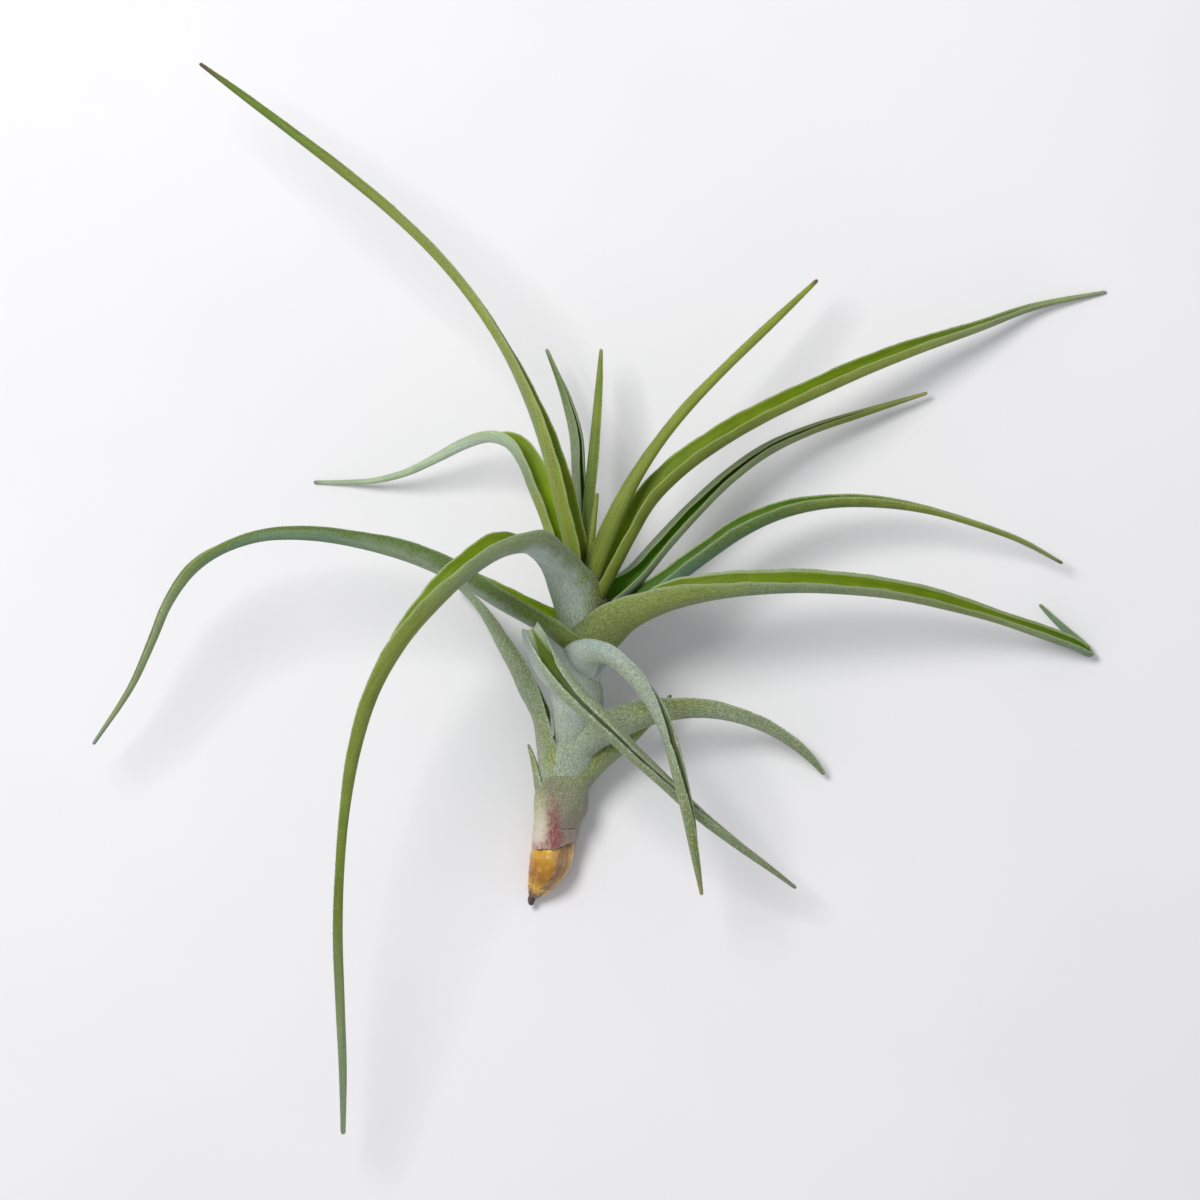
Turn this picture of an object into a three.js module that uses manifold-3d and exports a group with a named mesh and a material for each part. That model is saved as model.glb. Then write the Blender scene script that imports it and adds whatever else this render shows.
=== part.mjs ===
// A silver-leaved air plant lying on its side: a short stem, a dry papery base with the stub of the runner that
// it grew from, and eighteen channelled leaves whose sheaths wrap the stem in a loose spiral.
// Millimetres, +Z up, origin on the surface that it lies on, under the middle of its outline.
// +Y runs from the base to the crown, +X to the plant's right as it is seen from above.
import * as THREE from "three";
import { mergeVertices } from "three/addons/utils/BufferGeometryUtils.js";
import Module from "manifold-3d";

const wasm = await Module();
wasm.setup();

const MIDRIB_THICKNESS = 1.0;
const MARGIN_THICKNESS = 0.62;
// The most of a section's radius that its wall may fill, so that a rolled tip keeps its slit.
const WALL_SHARE = 0.78;
// A rolled section never closes up altogether: this share of its radius stays open.
const OPEN_SHARE = 0.02;
// Neighbouring pieces keep this gap wherever one wraps or meets another.
const GAP = 0.3;
// Corners closer than this are one corner.
const MERGE_DISTANCE = 1e-4;
const ARC_STEPS = 5;
const STATIONS_A_POINT = 2;
const FRAME_STEPS_A_STATION = 8;
const STEM_SIDES = 12;

// The stem's axis: x, y, z and the radius there.
const STEM = [
  [-12.3, -55.6, 3.7, 1.4],
  [-11.4, -53.4, 4.1, 2.4],
  [-10.2, -50.4, 4.4, 3.2],
  [-8.6, -45.6, 4.7, 3.6],
  [-7.4, -40.0, 5.9, 4.3],
  [-6.2, -33.0, 8.4, 4.3],
  [-5.2, -25.0, 12.0, 4.0],
  [-4.6, -17.0, 15.6, 3.8],
  [-3.4, -9.0, 18.8, 3.5],
  [-2.5, -2.0, 21.6, 2.9],
  [-2.0, 4.0, 23.6, 2.0],
  [-1.8, 8.0, 24.8, 0.9],
];

// The dry base: papery remains of the oldest sheaths, closed round the foot of the stem.
const DRY_BASE = [
  [-14.0, -60.5, 2.6, 0.6],
  [-13.4, -59.6, 2.8, 1.4],
  [-12.6, -58.2, 3.1, 2.4],
  [-11.6, -56.4, 3.5, 3.3],
  [-10.3, -53.7, 4.1, 4.2],
  [-9.5, -50.9, 4.3, 4.6],
  [-9.1, -48.6, 4.4, 4.6],
];

// The stub of the runner.
const STUB = [
  [-13.4, -59.6, 2.8, 0.75],
  [-13.8, -60.6, 2.6, 0.85],
  [-14.0, -61.4, 2.4, 0.7],
  [-14.1, -61.9, 2.3, 0.4],
];

// Each leaf, oldest and outermost first. side is where its midrib stands round the stem, in degrees from the top
// (0) towards the plant's right (90). route gives x, y, z and half width along the middle of the section, from the
// sheath to the tip. curl is how far each half of the section bends round, in degrees (180 closes it to a tube),
// and turn how far the channel has turned about the route; both are spread evenly over the route.
const LEAVES = [
  {
    name: "leaf_01_old_right",
    side: 100,
    route: [
      [-9.1, -49.4, 5.0, 4.8], [-8.4, -44.8, 5.5, 5.15], [-7.3, -40.8, 6.7, 6.0], [-5.2, -37.0, 8.0, 5.5],
      [-0.6, -33.2, 8.8, 3.8], [4.8, -29.6, 9.2, 2.3], [9.2, -25.6, 8.8, 1.5], [12.5, -22.1, 8.2, 1.0],
      [14.4, -19.2, 7.6, 0.4],
    ],
    curl: [165, 155, 105, 92, 90, 120],
    turn: [-35, -35],
  },
  {
    name: "leaf_02_left_bract",
    side: -95,
    route: [
      [-11.4, -42.0, 5.8, 3.2], [-12.5, -38.2, 6.6, 3.0], [-13.1, -35.0, 7.4, 2.2], [-13.7, -32.2, 7.9, 1.3],
      [-14.6, -29.2, 8.2, 0.4],
    ],
    curl: [60, 60, 80],
    turn: [0, 0],
  },
  {
    name: "leaf_03_low_left",
    side: -70,
    route: [
      [-8.0, -39.6, 6.4, 5.1], [-9.7, -34.4, 8.6, 4.2], [-11.2, -28.6, 10.6, 3.1], [-12.2, -23.2, 11.6, 2.9],
      [-14.6, -18.0, 11.8, 3.1], [-16.8, -13.4, 11.4, 2.6], [-19.6, -9.0, 10.4, 1.9], [-22.2, -4.5, 9.0, 1.35],
      [-25.4, -0.2, 7.0, 0.9], [-29.6, 3.6, 4.8, 0.4],
    ],
    curl: [120, 100, 110, 120, 140],
    turn: [0, -30, 0, 10],
  },
  {
    name: "leaf_04_low_right",
    side: 45,
    route: [
      [-6.0, -33.4, 9.2, 5.2], [-4.2, -29.4, 11.4, 5.0], [-0.4, -26.8, 14.2, 4.5], [4.3, -25.1, 16.0, 4.1],
      [9.0, -23.5, 16.6, 3.4], [14.5, -22.6, 16.0, 2.8], [20.0, -22.3, 14.8, 2.5], [26.0, -23.1, 12.8, 2.25],
      [32.2, -25.0, 10.2, 2.15], [38.2, -28.3, 7.2, 1.7], [42.5, -31.9, 4.8, 1.15], [45.5, -35.4, 2.4, 0.45],
    ],
    curl: [130, 105, 95, 100, 110, 135],
    turn: [0, -12, -20, 0, 40, 50],
  },
  {
    name: "leaf_05_front_left",
    side: -20,
    route: [
      [-5.6, -28.4, 11.6, 3.9], [-5.2, -24.0, 13.8, 4.8], [-4.9, -20.0, 16.2, 5.6], [-6.2, -16.6, 19.8, 5.0],
      [-9.2, -13.8, 25.2, 4.1], [-12.2, -9.4, 31.2, 2.8], [-13.5, -6.2, 36.8, 1.9], [-13.1, -6.4, 40.6, 1.8],
      [-9.6, -13.0, 42.2, 2.35], [-5.7, -18.2, 42.0, 2.4], [0.0, -23.6, 40.4, 2.2], [5.7, -29.4, 37.4, 1.8],
      [12.6, -35.9, 33.0, 1.5], [19.7, -42.7, 27.8, 1.3], [27.5, -49.0, 22.0, 0.95], [34.2, -54.0, 16.6, 0.65],
      [39.5, -58.1, 12.2, 0.38],
    ],
    curl: [140, 137, 134, 131, 128, 115, 88, 92, 150, 162, 166, 168, 168, 168, 168, 168, 168],
    turn: [0, 0, 18, 39, 50, 52, 41, -35, -80],
  },
  {
    name: "leaf_06_front_right",
    side: 25,
    route: [
      [-4.4, -20.6, 14.6, 4.7], [-3.8, -16.0, 17.6, 4.7], [-3.4, -12.6, 22.2, 4.3], [-2.6, -11.3, 28.0, 3.8],
      [-1.0, -10.8, 33.6, 3.1], [2.4, -11.4, 37.4, 2.5], [7.2, -15.9, 38.6, 2.1], [11.2, -21.7, 38.4, 1.7],
      [13.9, -27.8, 37.4, 1.55], [15.7, -34.8, 35.8, 1.55], [17.5, -42.7, 33.4, 1.35], [18.9, -50.8, 30.8, 0.92],
      [20.3, -58.9, 28.0, 0.38],
    ],
    curl: [130, 110, 110, 125, 150, 155, 155],
    turn: [0, 0, -43, -50, 35, -10, -70],
  },
  {
    name: "leaf_07_left_arching",
    side: -60,
    route: [
      [-4.2, -15.4, 16.4, 4.8], [-4.6, -10.6, 18.8, 4.8], [-7.2, -7.0, 21.4, 4.3], [-12.0, -3.9, 24.0, 3.8],
      [-19.0, -0.2, 28.0, 3.4], [-27.2, 4.6, 32.0, 3.0], [-37.1, 8.9, 35.6, 2.5], [-48.1, 11.7, 38.2, 1.9],
      [-58.0, 13.0, 39.2, 1.6], [-66.9, 12.6, 38.8, 1.35], [-75.0, 10.1, 37.2, 1.3], [-81.1, 6.1, 34.8, 1.35],
      [-85.9, -0.4, 31.6, 1.1], [-89.4, -8.2, 28.2, 0.95], [-93.9, -17.5, 23.6, 0.72], [-101.8, -29.0, 18.0, 0.38],
    ],
    curl: [110, 105, 115, 125, 155, 160],
    turn: [0, -25, -10, 30, 40, -20, -50, -45],
  },
  {
    name: "leaf_08_right_folded",
    side: 50,
    route: [
      [-4.0, -14.6, 17.2, 5.2], [-2.2, -9.6, 20.0, 5.5], [1.2, -6.4, 23.0, 5.2], [5.6, -3.1, 25.8, 4.8],
      [11.9, -0.2, 27.8, 4.6], [19.7, 1.7, 28.8, 4.1], [29.0, 2.8, 28.8, 3.5], [40.0, 3.2, 27.6, 3.1],
      [50.0, 2.7, 25.4, 2.85], [60.0, 1.5, 22.0, 2.55], [70.0, -0.7, 17.6, 2.2], [80.1, -3.6, 12.6, 1.65],
      [90.3, -7.0, 7.2, 1.7], [96.4, -9.2, 4.4, 1.5], [99.2, -10.6, 2.4, 1.15], [97.2, -8.4, 1.0, 0.95],
      [93.5, -5.1, 0.9, 0.75], [89.2, -0.9, 2.2, 0.38],
    ],
    curl: [150, 110, 100, 100, 110, 125, 150],
    turn: [0, 3, 40, 52, 60, 60, 60],
  },
  {
    name: "leaf_09_left_hanging",
    side: -15,
    route: [
      [-3.6, -9.4, 19.2, 5.2], [-4.0, -4.0, 21.8, 5.7], [-5.6, 1.2, 26.2, 5.6], [-8.0, 5.8, 32.2, 4.6],
      [-10.8, 9.0, 39.4, 4.1], [-14.4, 11.2, 46.6, 4.3], [-19.8, 10.3, 52.2, 4.1], [-25.9, 6.3, 55.6, 3.7],
      [-32.4, 0.2, 57.4, 3.6], [-39.0, -7.8, 57.6, 3.0], [-44.3, -17.5, 56.4, 2.2], [-47.8, -28.7, 53.6, 1.6],
      [-50.0, -41.0, 49.6, 1.15], [-51.2, -53.0, 45.0, 1.0], [-51.8, -66.0, 39.4, 1.05], [-51.6, -80.0, 33.0, 1.0],
      [-51.3, -94.0, 26.2, 0.85], [-51.5, -107.2, 19.6, 0.52],
    ],
    curl: [95, 85, 95, 100, 120, 135, 140],
    turn: [0, 0, -12, 4, 38, 45, 45],
  },
  {
    name: "leaf_10_right_arching",
    side: 110,
    route: [
      [-3.0, -8.0, 19.2, 3.8], [-0.4, -4.2, 20.6, 3.5], [5.6, -1.2, 20.8, 3.0], [13.2, 3.4, 20.6, 2.8],
      [20.7, 9.0, 20.4, 2.75], [28.6, 14.4, 20.2, 2.65], [36.6, 17.8, 19.6, 2.25], [46.0, 19.6, 18.2, 1.85],
      [56.1, 19.6, 16.4, 1.55], [66.2, 18.0, 14.0, 1.0], [76.4, 15.1, 11.2, 0.8], [85.0, 12.0, 8.6, 0.7],
      [93.7, 7.4, 6.0, 0.38],
    ],
    curl: [100, 100, 110, 115, 125, 140],
    turn: [0, -6, -6, -6],
  },
  {
    name: "leaf_11_right_middle",
    side: 145,
    route: [
      [-2.8, -4.8, 19.6, 3.3], [1.0, 0.2, 19.8, 3.0], [6.8, 4.8, 19.0, 2.4], [12.4, 11.2, 18.0, 2.1],
      [18.9, 18.2, 16.8, 1.9], [25.8, 24.7, 15.2, 1.65], [33.4, 30.2, 13.0, 1.45], [42.3, 34.3, 10.2, 1.15],
      [53.3, 37.9, 6.8, 0.86], [66.4, 42.0, 3.2, 0.38],
    ],
    curl: [115, 150, 160, 166, 168],
    turn: [5, 32, 32, 25, 10],
  },
  {
    name: "leaf_12_left_twisted",
    side: -120,
    route: [
      [-3.6, -3.8, 19.6, 3.6], [-5.4, 3.4, 20.8, 3.5], [-8.2, 10.9, 22.4, 3.4], [-10.4, 17.3, 23.4, 3.3],
      [-12.5, 22.6, 23.8, 3.3], [-14.6, 27.6, 23.4, 3.2], [-17.7, 31.5, 22.0, 2.8], [-22.0, 32.6, 19.6, 1.8],
      [-27.0, 31.3, 16.0, 1.35], [-33.1, 28.4, 11.6, 1.0], [-39.2, 25.7, 7.4, 0.8], [-45.5, 24.2, 3.8, 0.65],
      [-51.8, 23.9, 1.4, 0.5], [-58.2, 23.9, 0.3, 0.38],
    ],
    curl: [90, 95, 95, 105, 130, 140],
    turn: [0, 0, -5, 8, 45, 60, 60],
  },
  {
    name: "leaf_13_right_long",
    side: 90,
    route: [
      [-2.6, -3.4, 21.6, 3.1], [0.0, 1.4, 23.2, 2.9], [2.8, 6.9, 24.6, 2.7], [5.9, 13.3, 25.6, 3.05],
      [9.8, 20.2, 26.2, 3.45], [16.0, 26.4, 26.2, 3.3], [23.9, 32.0, 25.2, 3.0], [33.1, 37.3, 23.4, 2.85],
      [43.2, 42.1, 20.6, 2.7], [53.2, 46.6, 17.0, 2.45], [64.3, 51.0, 12.6, 2.1], [76.4, 55.1, 7.8, 1.4],
      [88.1, 59.4, 3.3, 0.9], [103.0, 62.6, 0.25, 0.38],
    ],
    curl: [95, 95, 95, 100, 110, 130],
    turn: [0, 20, 26, 29, 32, 33],
  },
  {
    name: "leaf_14_right_upright",
    side: 35,
    route: [
      [-2.6, -1.6, 23.0, 2.6], [-1.6, 3.6, 25.4, 2.5], [0.2, 9.0, 27.2, 2.25], [3.1, 15.8, 28.6, 2.0],
      [6.7, 23.3, 29.0, 1.6], [11.8, 31.2, 28.2, 1.3], [17.9, 38.8, 26.4, 1.2], [25.0, 46.2, 23.8, 1.02],
      [32.5, 53.5, 20.6, 0.98], [38.3, 59.1, 18.0, 0.75], [43.8, 64.4, 15.8, 0.42],
    ],
    curl: [95, 100, 105, 115, 140],
    turn: [0, 0],
  },
  {
    name: "leaf_15_left_long",
    side: -105,
    route: [
      [-3.2, -2.4, 22.6, 3.2], [-4.1, 3.4, 25.6, 3.4], [-5.3, 10.3, 28.6, 3.55], [-7.4, 19.8, 32.2, 3.6],
      [-10.0, 29.7, 35.6, 3.0], [-13.7, 39.4, 38.4, 2.15], [-18.5, 49.2, 40.6, 1.5], [-24.8, 59.1, 42.0, 1.4],
      [-32.3, 68.2, 42.4, 1.3], [-41.3, 76.9, 41.8, 1.28], [-51.1, 85.0, 40.2, 1.22], [-60.9, 92.6, 37.8, 1.05],
      [-70.5, 99.9, 34.8, 0.85], [-79.7, 106.8, 31.4, 0.4],
    ],
    curl: [95, 95, 105, 125, 140, 145],
    turn: [0, 0, 3, 16, 26, 31, 31],
  },
  {
    name: "leaf_16_inner_left",
    side: -140,
    route: [
      [-2.9, 1.0, 22.0, 1.8], [-3.3, 9.0, 21.2, 1.6], [-3.8, 17.0, 20.0, 1.5], [-4.3, 25.0, 18.6, 1.5],
      [-4.8, 33.0, 17.0, 1.45], [-6.7, 40.3, 15.2, 1.1], [-8.7, 45.5, 13.8, 0.65], [-10.8, 50.6, 12.6, 0.38],
    ],
    curl: [100, 150, 168, 168],
    turn: [0, -8, -8],
  },
  {
    name: "leaf_17_inner_right",
    side: -65,
    route: [
      [-2.0, 2.0, 23.6, 1.7], [-2.6, 9.0, 23.6, 1.7], [-2.7, 17.0, 22.8, 1.65], [-1.9, 26.0, 21.2, 1.5],
      [-1.0, 35.4, 18.8, 1.25], [-0.3, 43.4, 16.2, 0.88], [0.2, 50.6, 13.6, 0.38],
    ],
    curl: [90, 95, 100, 130],
    turn: [0, 0],
  },
  {
    name: "leaf_18_heart",
    side: 20,
    route: [
      [-2.0, 4.0, 25.2, 1.0], [-1.9, 9.4, 26.2, 0.9], [-1.3, 15.4, 26.6, 0.7], [-0.5, 21.4, 26.4, 0.38],
    ],
    curl: [110, 110, 130],
    turn: [0, 0],
  },
];

const LEAF_COLOUR = 0x7f9a5c;
const STEM_COLOUR = 0xb3ba94;
const DRY_COLOUR = 0xb8791f;
const STUB_COLOUR = 0x3a2a1c;

const points = (rows) => rows.map(([x, y, z]) => new THREE.Vector3(x, y, z));
const route = (rows) => new THREE.CatmullRomCurve3(points(rows), false, "centripetal");

// A number that a list gives at even steps, at share u of the way along it.
function along(list, u) {
  const place = u * (list.length - 1);
  const step = Math.min(Math.floor(place), list.length - 2);
  return THREE.MathUtils.lerp(list[step], list[step + 1], place - step);
}

// The half width along a route, as smooth as the route itself.
function widthCurve(rows) {
  const curve = new THREE.CatmullRomCurve3(
    rows.map((row) => new THREE.Vector3(row[3], 0, 0)), false, "catmullrom", 0.5);
  return (u) => curve.getPoint(u).x;
}

// A solid from rings of equal length. quadFlips tells which quads along the ring are split the other way, and
// cap lists an end's triangles by their places in the ring.
function loft(rings, cap, quadFlips = () => false) {
  const size = rings[0].length;
  const index = [];
  for (let ring = 0; ring < rings.length - 1; ring++) {
    for (let k = 0; k < size; k++) {
      const a = ring * size + k;
      const b = ring * size + ((k + 1) % size);
      const c = a + size;
      const d = b + size;
      if (quadFlips(k)) index.push(a, b, c, b, d, c);
      else index.push(a, b, d, a, d, c);
    }
  }
  const last = (rings.length - 1) * size;
  for (const [a, b, c] of cap) index.push(a, c, b, last + a, last + b, last + c);
  const geometry = new THREE.BufferGeometry().setFromPoints(rings.flat());
  geometry.setIndex(index);
  return solid(geometry);
}

function solid(geometry) {
  const bare = geometry.clone();
  bare.deleteAttribute("normal");
  bare.deleteAttribute("uv");
  const merged = mergeVertices(bare, MERGE_DISTANCE);
  const made = new wasm.Manifold(new wasm.Mesh({
    numProp: 3,
    vertProperties: merged.attributes.position.array,
    triVerts: new Uint32Array(merged.index.array),
  }));
  if (made.volume() < 0) throw new Error("a piece is inside out");
  return made;
}

// A round stem-like solid along rows of x, y, z and radius.
function rod(rows, grow = 0) {
  const curve = route(rows);
  const radius = widthCurve(rows);
  const stations = STATIONS_A_POINT * (rows.length - 1);
  const frames = curve.computeFrenetFrames(stations, false);
  const rings = [];
  for (let s = 0; s <= stations; s++) {
    const u = s / stations;
    const centre = curve.getPoint(u);
    const ring = [];
    for (let k = 0; k < STEM_SIDES; k++) {
      const angle = (2 * Math.PI * k) / STEM_SIDES;
      const spoke = frames.normals[0].clone().applyAxisAngle(frames.tangents[0], angle);
      spoke.addScaledVector(curve.getTangent(u), -spoke.dot(curve.getTangent(u))).normalize();
      ring.push(centre.clone().addScaledVector(spoke, radius(u) + grow));
    }
    rings.push(ring);
  }
  const cap = [];
  for (let k = 1; k < STEM_SIDES - 1; k++) cap.push([0, k, k + 1]);
  return loft(rings, cap);
}

// Which way the channel faces at the sheath: back towards the stem's axis.
function inward(side, tangent) {
  const up = new THREE.Vector3(0, 0, 1);
  up.addScaledVector(tangent, -up.dot(tangent)).normalize();
  const right = new THREE.Vector3().crossVectors(tangent, up);
  const angle = THREE.MathUtils.degToRad(side);
  return up.multiplyScalar(-Math.cos(angle)).addScaledVector(right, -Math.sin(angle));
}

// The channelled section: an arc of wall, thickest at the midrib. It is centred on the route.
function section(halfWidth, curl, grow) {
  const radius = halfWidth / Math.sin(Math.min(curl, Math.PI / 2));
  const depth = radius * (1 - Math.cos(curl));
  const bend = curl + grow / radius;
  const back = [];
  const channel = [];
  for (let i = 0; i <= ARC_STEPS; i++) {
    const share = (2 * i) / ARC_STEPS - 1;
    const wall = Math.min(
      THREE.MathUtils.lerp(MIDRIB_THICKNESS, MARGIN_THICKNESS, share * share), WALL_SHARE * radius);
    const angle = bend * share;
    const outer = radius + grow;
    const inner = Math.max(radius - wall - grow, OPEN_SHARE * radius);
    back.push([outer * Math.sin(angle), radius - outer * Math.cos(angle) - depth / 2]);
    channel.push([inner * Math.sin(angle), radius - inner * Math.cos(angle) - depth / 2]);
  }
  return [...back, ...channel.reverse()];
}

function leaf(spec, grow = 0) {
  const curve = route(spec.route);
  const halfWidth = widthCurve(spec.route);
  const stations = STATIONS_A_POINT * (spec.route.length - 1);
  const steps = stations * FRAME_STEPS_A_STATION;
  const facing = inward(spec.side, curve.getTangent(0));
  const rings = [];
  for (let step = 0; step <= steps; step++) {
    const u = step / steps;
    const tangent = curve.getTangent(u);
    facing.addScaledVector(tangent, -facing.dot(tangent)).normalize();
    if (step % FRAME_STEPS_A_STATION) continue;
    const turn = THREE.MathUtils.degToRad(along(spec.turn, u));
    const up = facing.clone().applyAxisAngle(tangent, turn);
    const across = new THREE.Vector3().crossVectors(up, tangent);
    const middle = curve.getPoint(u);
    if (step === 0) middle.addScaledVector(tangent, -grow);
    if (step === steps) middle.addScaledVector(tangent, grow);
    const curl = THREE.MathUtils.degToRad(along(spec.curl, u));
    rings.push(section(halfWidth(u), curl, grow).map(
      ([x, y]) => middle.clone().addScaledVector(across, x).addScaledVector(up, y)));
  }
  const size = 2 * (ARC_STEPS + 1);
  const cap = [];
  for (let k = 0; k < ARC_STEPS; k++) {
    cap.push([k, k + 1, size - 1 - k], [k + 1, size - 2 - k, size - 1 - k]);
  }
  return loft(rings, cap, (k) => k > ARC_STEPS && k < size - 1);
}

// The largest piece of a solid, without the scraps that a cut leaves.
function largest(cut) {
  return cut.decompose().reduce((best, piece) => (piece.volume() > best.volume() ? piece : best));
}

const SURFACE_DEPTH = 20;
const SURFACE_WIDTH = 400;
const belowSurface = solid(
  new THREE.BoxGeometry(SURFACE_WIDTH, SURFACE_WIDTH, SURFACE_DEPTH).translate(0, 0, -SURFACE_DEPTH / 2));

function mesh(name, made, colour, roughness) {
  const { vertProperties, triVerts } = largest(made.subtract(belowSurface)).getMesh();
  const geometry = new THREE.BufferGeometry();
  geometry.setAttribute("position", new THREE.BufferAttribute(vertProperties, 3));
  geometry.setIndex(new THREE.BufferAttribute(triVerts, 1));
  geometry.computeVertexNormals();
  const material = new THREE.MeshStandardMaterial({ color: colour, roughness, metalness: 0 });
  const piece = new THREE.Mesh(geometry, material);
  piece.name = name;
  return piece;
}

const plant = new THREE.Group();

// Each leaf wraps the younger ones inside it, so the younger are cut back from the older.
const room = [];
for (const spec of LEAVES) {
  let blade = leaf(spec);
  for (const older of room) blade = blade.subtract(older);
  plant.add(mesh(spec.name, blade, LEAF_COLOUR, 0.6));
  room.push(leaf(spec, GAP));
}

let stem = rod(STEM);
for (const wrap of room) stem = stem.subtract(wrap);
plant.add(mesh("stem", stem, STEM_COLOUR, 0.7));

let dryBase = rod(DRY_BASE).subtract(rod(STEM, GAP));
for (const wrap of room) dryBase = dryBase.subtract(wrap);
plant.add(mesh("dry_base", dryBase, DRY_COLOUR, 0.45));

const stub = rod(STUB).subtract(rod(DRY_BASE, GAP));
plant.add(mesh("runner_stub", stub, STUB_COLOUR, 0.8));

export default plant;
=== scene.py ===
"""The looks of a silver-leaved air plant that lies on its side.

Every leaf is lofted finely along the same route and section as its solid, trimmed where it meets the
sheaths that wrap it, and dusted with tiny pale scales. Lengths in the tables are millimetres, and
Blender's units are metres.
"""

import math

import bmesh
import bpy
import numpy as np
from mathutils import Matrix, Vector
from mathutils.bvhtree import BVHTree


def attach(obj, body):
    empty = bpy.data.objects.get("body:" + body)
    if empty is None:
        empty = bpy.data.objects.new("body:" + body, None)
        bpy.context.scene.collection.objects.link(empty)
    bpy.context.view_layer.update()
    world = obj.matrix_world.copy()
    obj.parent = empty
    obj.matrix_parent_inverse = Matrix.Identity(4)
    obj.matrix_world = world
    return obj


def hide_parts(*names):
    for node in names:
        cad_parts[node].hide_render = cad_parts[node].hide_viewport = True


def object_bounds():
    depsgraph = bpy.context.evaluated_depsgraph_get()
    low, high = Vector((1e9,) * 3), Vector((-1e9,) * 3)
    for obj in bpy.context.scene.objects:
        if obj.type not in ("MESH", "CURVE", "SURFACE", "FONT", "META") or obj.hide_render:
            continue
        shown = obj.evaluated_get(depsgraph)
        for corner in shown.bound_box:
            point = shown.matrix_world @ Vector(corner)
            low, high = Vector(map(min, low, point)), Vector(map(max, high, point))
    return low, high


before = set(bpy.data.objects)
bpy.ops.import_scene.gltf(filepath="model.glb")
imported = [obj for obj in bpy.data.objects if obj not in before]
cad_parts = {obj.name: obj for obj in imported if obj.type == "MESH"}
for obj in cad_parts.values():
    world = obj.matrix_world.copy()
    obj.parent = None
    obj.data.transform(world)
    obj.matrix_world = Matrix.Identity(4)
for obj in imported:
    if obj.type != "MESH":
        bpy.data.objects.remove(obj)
cad_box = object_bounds()

MM = 0.001
SEED = 7

# The leaf's wall, a fine copy of the solid's, thick at the midrib and thin at the margins. No wall is
# thicker than this share of the section's radius, and none reaches nearer to its middle than the last
# share.
MIDRIB_THICKNESS = 1.0
MARGIN_THICKNESS = 0.24
WALL_SHARE = 0.72
THINNING_POWER = 2.4
LEAST_INNER_SHARE = 0.04
# The slow waves of a leaf's margins: their lengths, and how far they swing in degrees.
MARGIN_WAVES = ((31.0, 2.2), (13.0, 1.6), (5.5, 1.0))
# The lowest sheath's rosy flushes from above: centre, reach and strength.
FLUSHES = (
    ((-11.0, -50.0), (4.4, 1.6), 0.6),
    ((-9.2, -47.8), (2.3, 3.2), 0.85),
    ((-9.4, -44.6), (1.6, 3.0), 0.65),
    ((-9.6, -41.8), (1.9, 3.0), 0.35),
)
# Its plum speckle: centre, reach and how far apart the specks are. Then its crease: centre and reach.
BRUISES = (
    ((-9.4, -39.2), (3.4, 3.4), 0.4),
    ((-7.0, -47.6), (1.5, 1.5), 0.5),
)
CREASE = ((-6.3, -46.2), (1.9, 0.2))
# Its husk: centre and reach, and between which x it goes from pale to grey: painted light on its left and
# painted shade towards its right, over the husk's own tone.
HUSK = ((-9.4, -47.2), (8.0, 8.4))
HUSK_LIT_TO_SHADED_X = (-12.4, -8.0)
# The thin brown part of the dry base from above: its centre and reach.
MEMBRANE = ((-7.7, -52.4), (2.1, 4.8))
# Neighbouring sheaths keep this gap.
SHEATH_GAP = 0.06
# The skin runs midway between the corners and the middles of the solid's five straight walls.
SKIN_SHARE = 0.95
ARC_STEPS = 20
STATIONS_A_POINT = 8
STEM_SIDES = 48
STEM_STATIONS = 110
BASE_STATIONS = 80
STUB_STATIONS = 24
# Where the rings that round a tip off stand, in half widths from its end, and how pointed the end is, 1
# being a point.
TIP_RINGS = (1.2, 0.8, 0.5, 0.25, 0.08)
TIP_POINT = 0.97
# How far up from its lower edge a sheath is drawn askew, how fast that grows towards its right, and the
# share of it that is taken off all round.
HEM_REACH = 9.0
HEM_POWER = 1.6
HEM_DROP = 0.4
# How far in from its margins a channel is silvery where a leaf doesn't say, and the farthest that any
# leaf says.
THIN_LIP = [0.1, 0.1]
LIP_MOST = 3.6

# Colours as they look in daylight, red, green and blue up to 255.
BRIGHT_GREEN = (106, 130, 2)
DEEP_GREEN = (62, 104, 10)
FRESH_GREEN = (76, 114, 10)
# Painted light: a brighter green than the channels have, for the bases of leaves 7, 12 and 13 where they
# lie in shade.
PAINTED_LIGHT_GREEN = (150, 182, 24)
# Painted light: a brighter green for leaf 11's channel near its base, which lies in shade.
PAINTED_LIGHT_LUSH_GREEN = (94, 150, 16)
DARK_OLIVE = (98, 114, 46)
# Painted light: a pale silver, lighter than the leaves' own, for the shaded bases of leaves 5, 6 and 9,
# leaf 3's right wing and leaf 6's channel.
PAINTED_LIGHT_SILVER = (192, 206, 198)
LEAF_GREEN = (96, 118, 34)
DARK_GREEN = (82, 108, 44)
OLIVE = (116, 132, 46)
YELLOW_GREEN = (134, 148, 54)
SAGE = (126, 142, 98)
SILVER_GREEN = (140, 156, 124)
SILVER = (148, 162, 142)
BLUE_SILVER = (152, 170, 170)
BLUE_GREEN = (104, 132, 104)
TEAL_GREEN = (84, 122, 98)
MARGIN_GREEN = (164, 178, 112)
MINT = (166, 184, 150)
PALE_MINT = (184, 200, 182)
HUSK_YELLOW = (172, 174, 118)
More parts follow.
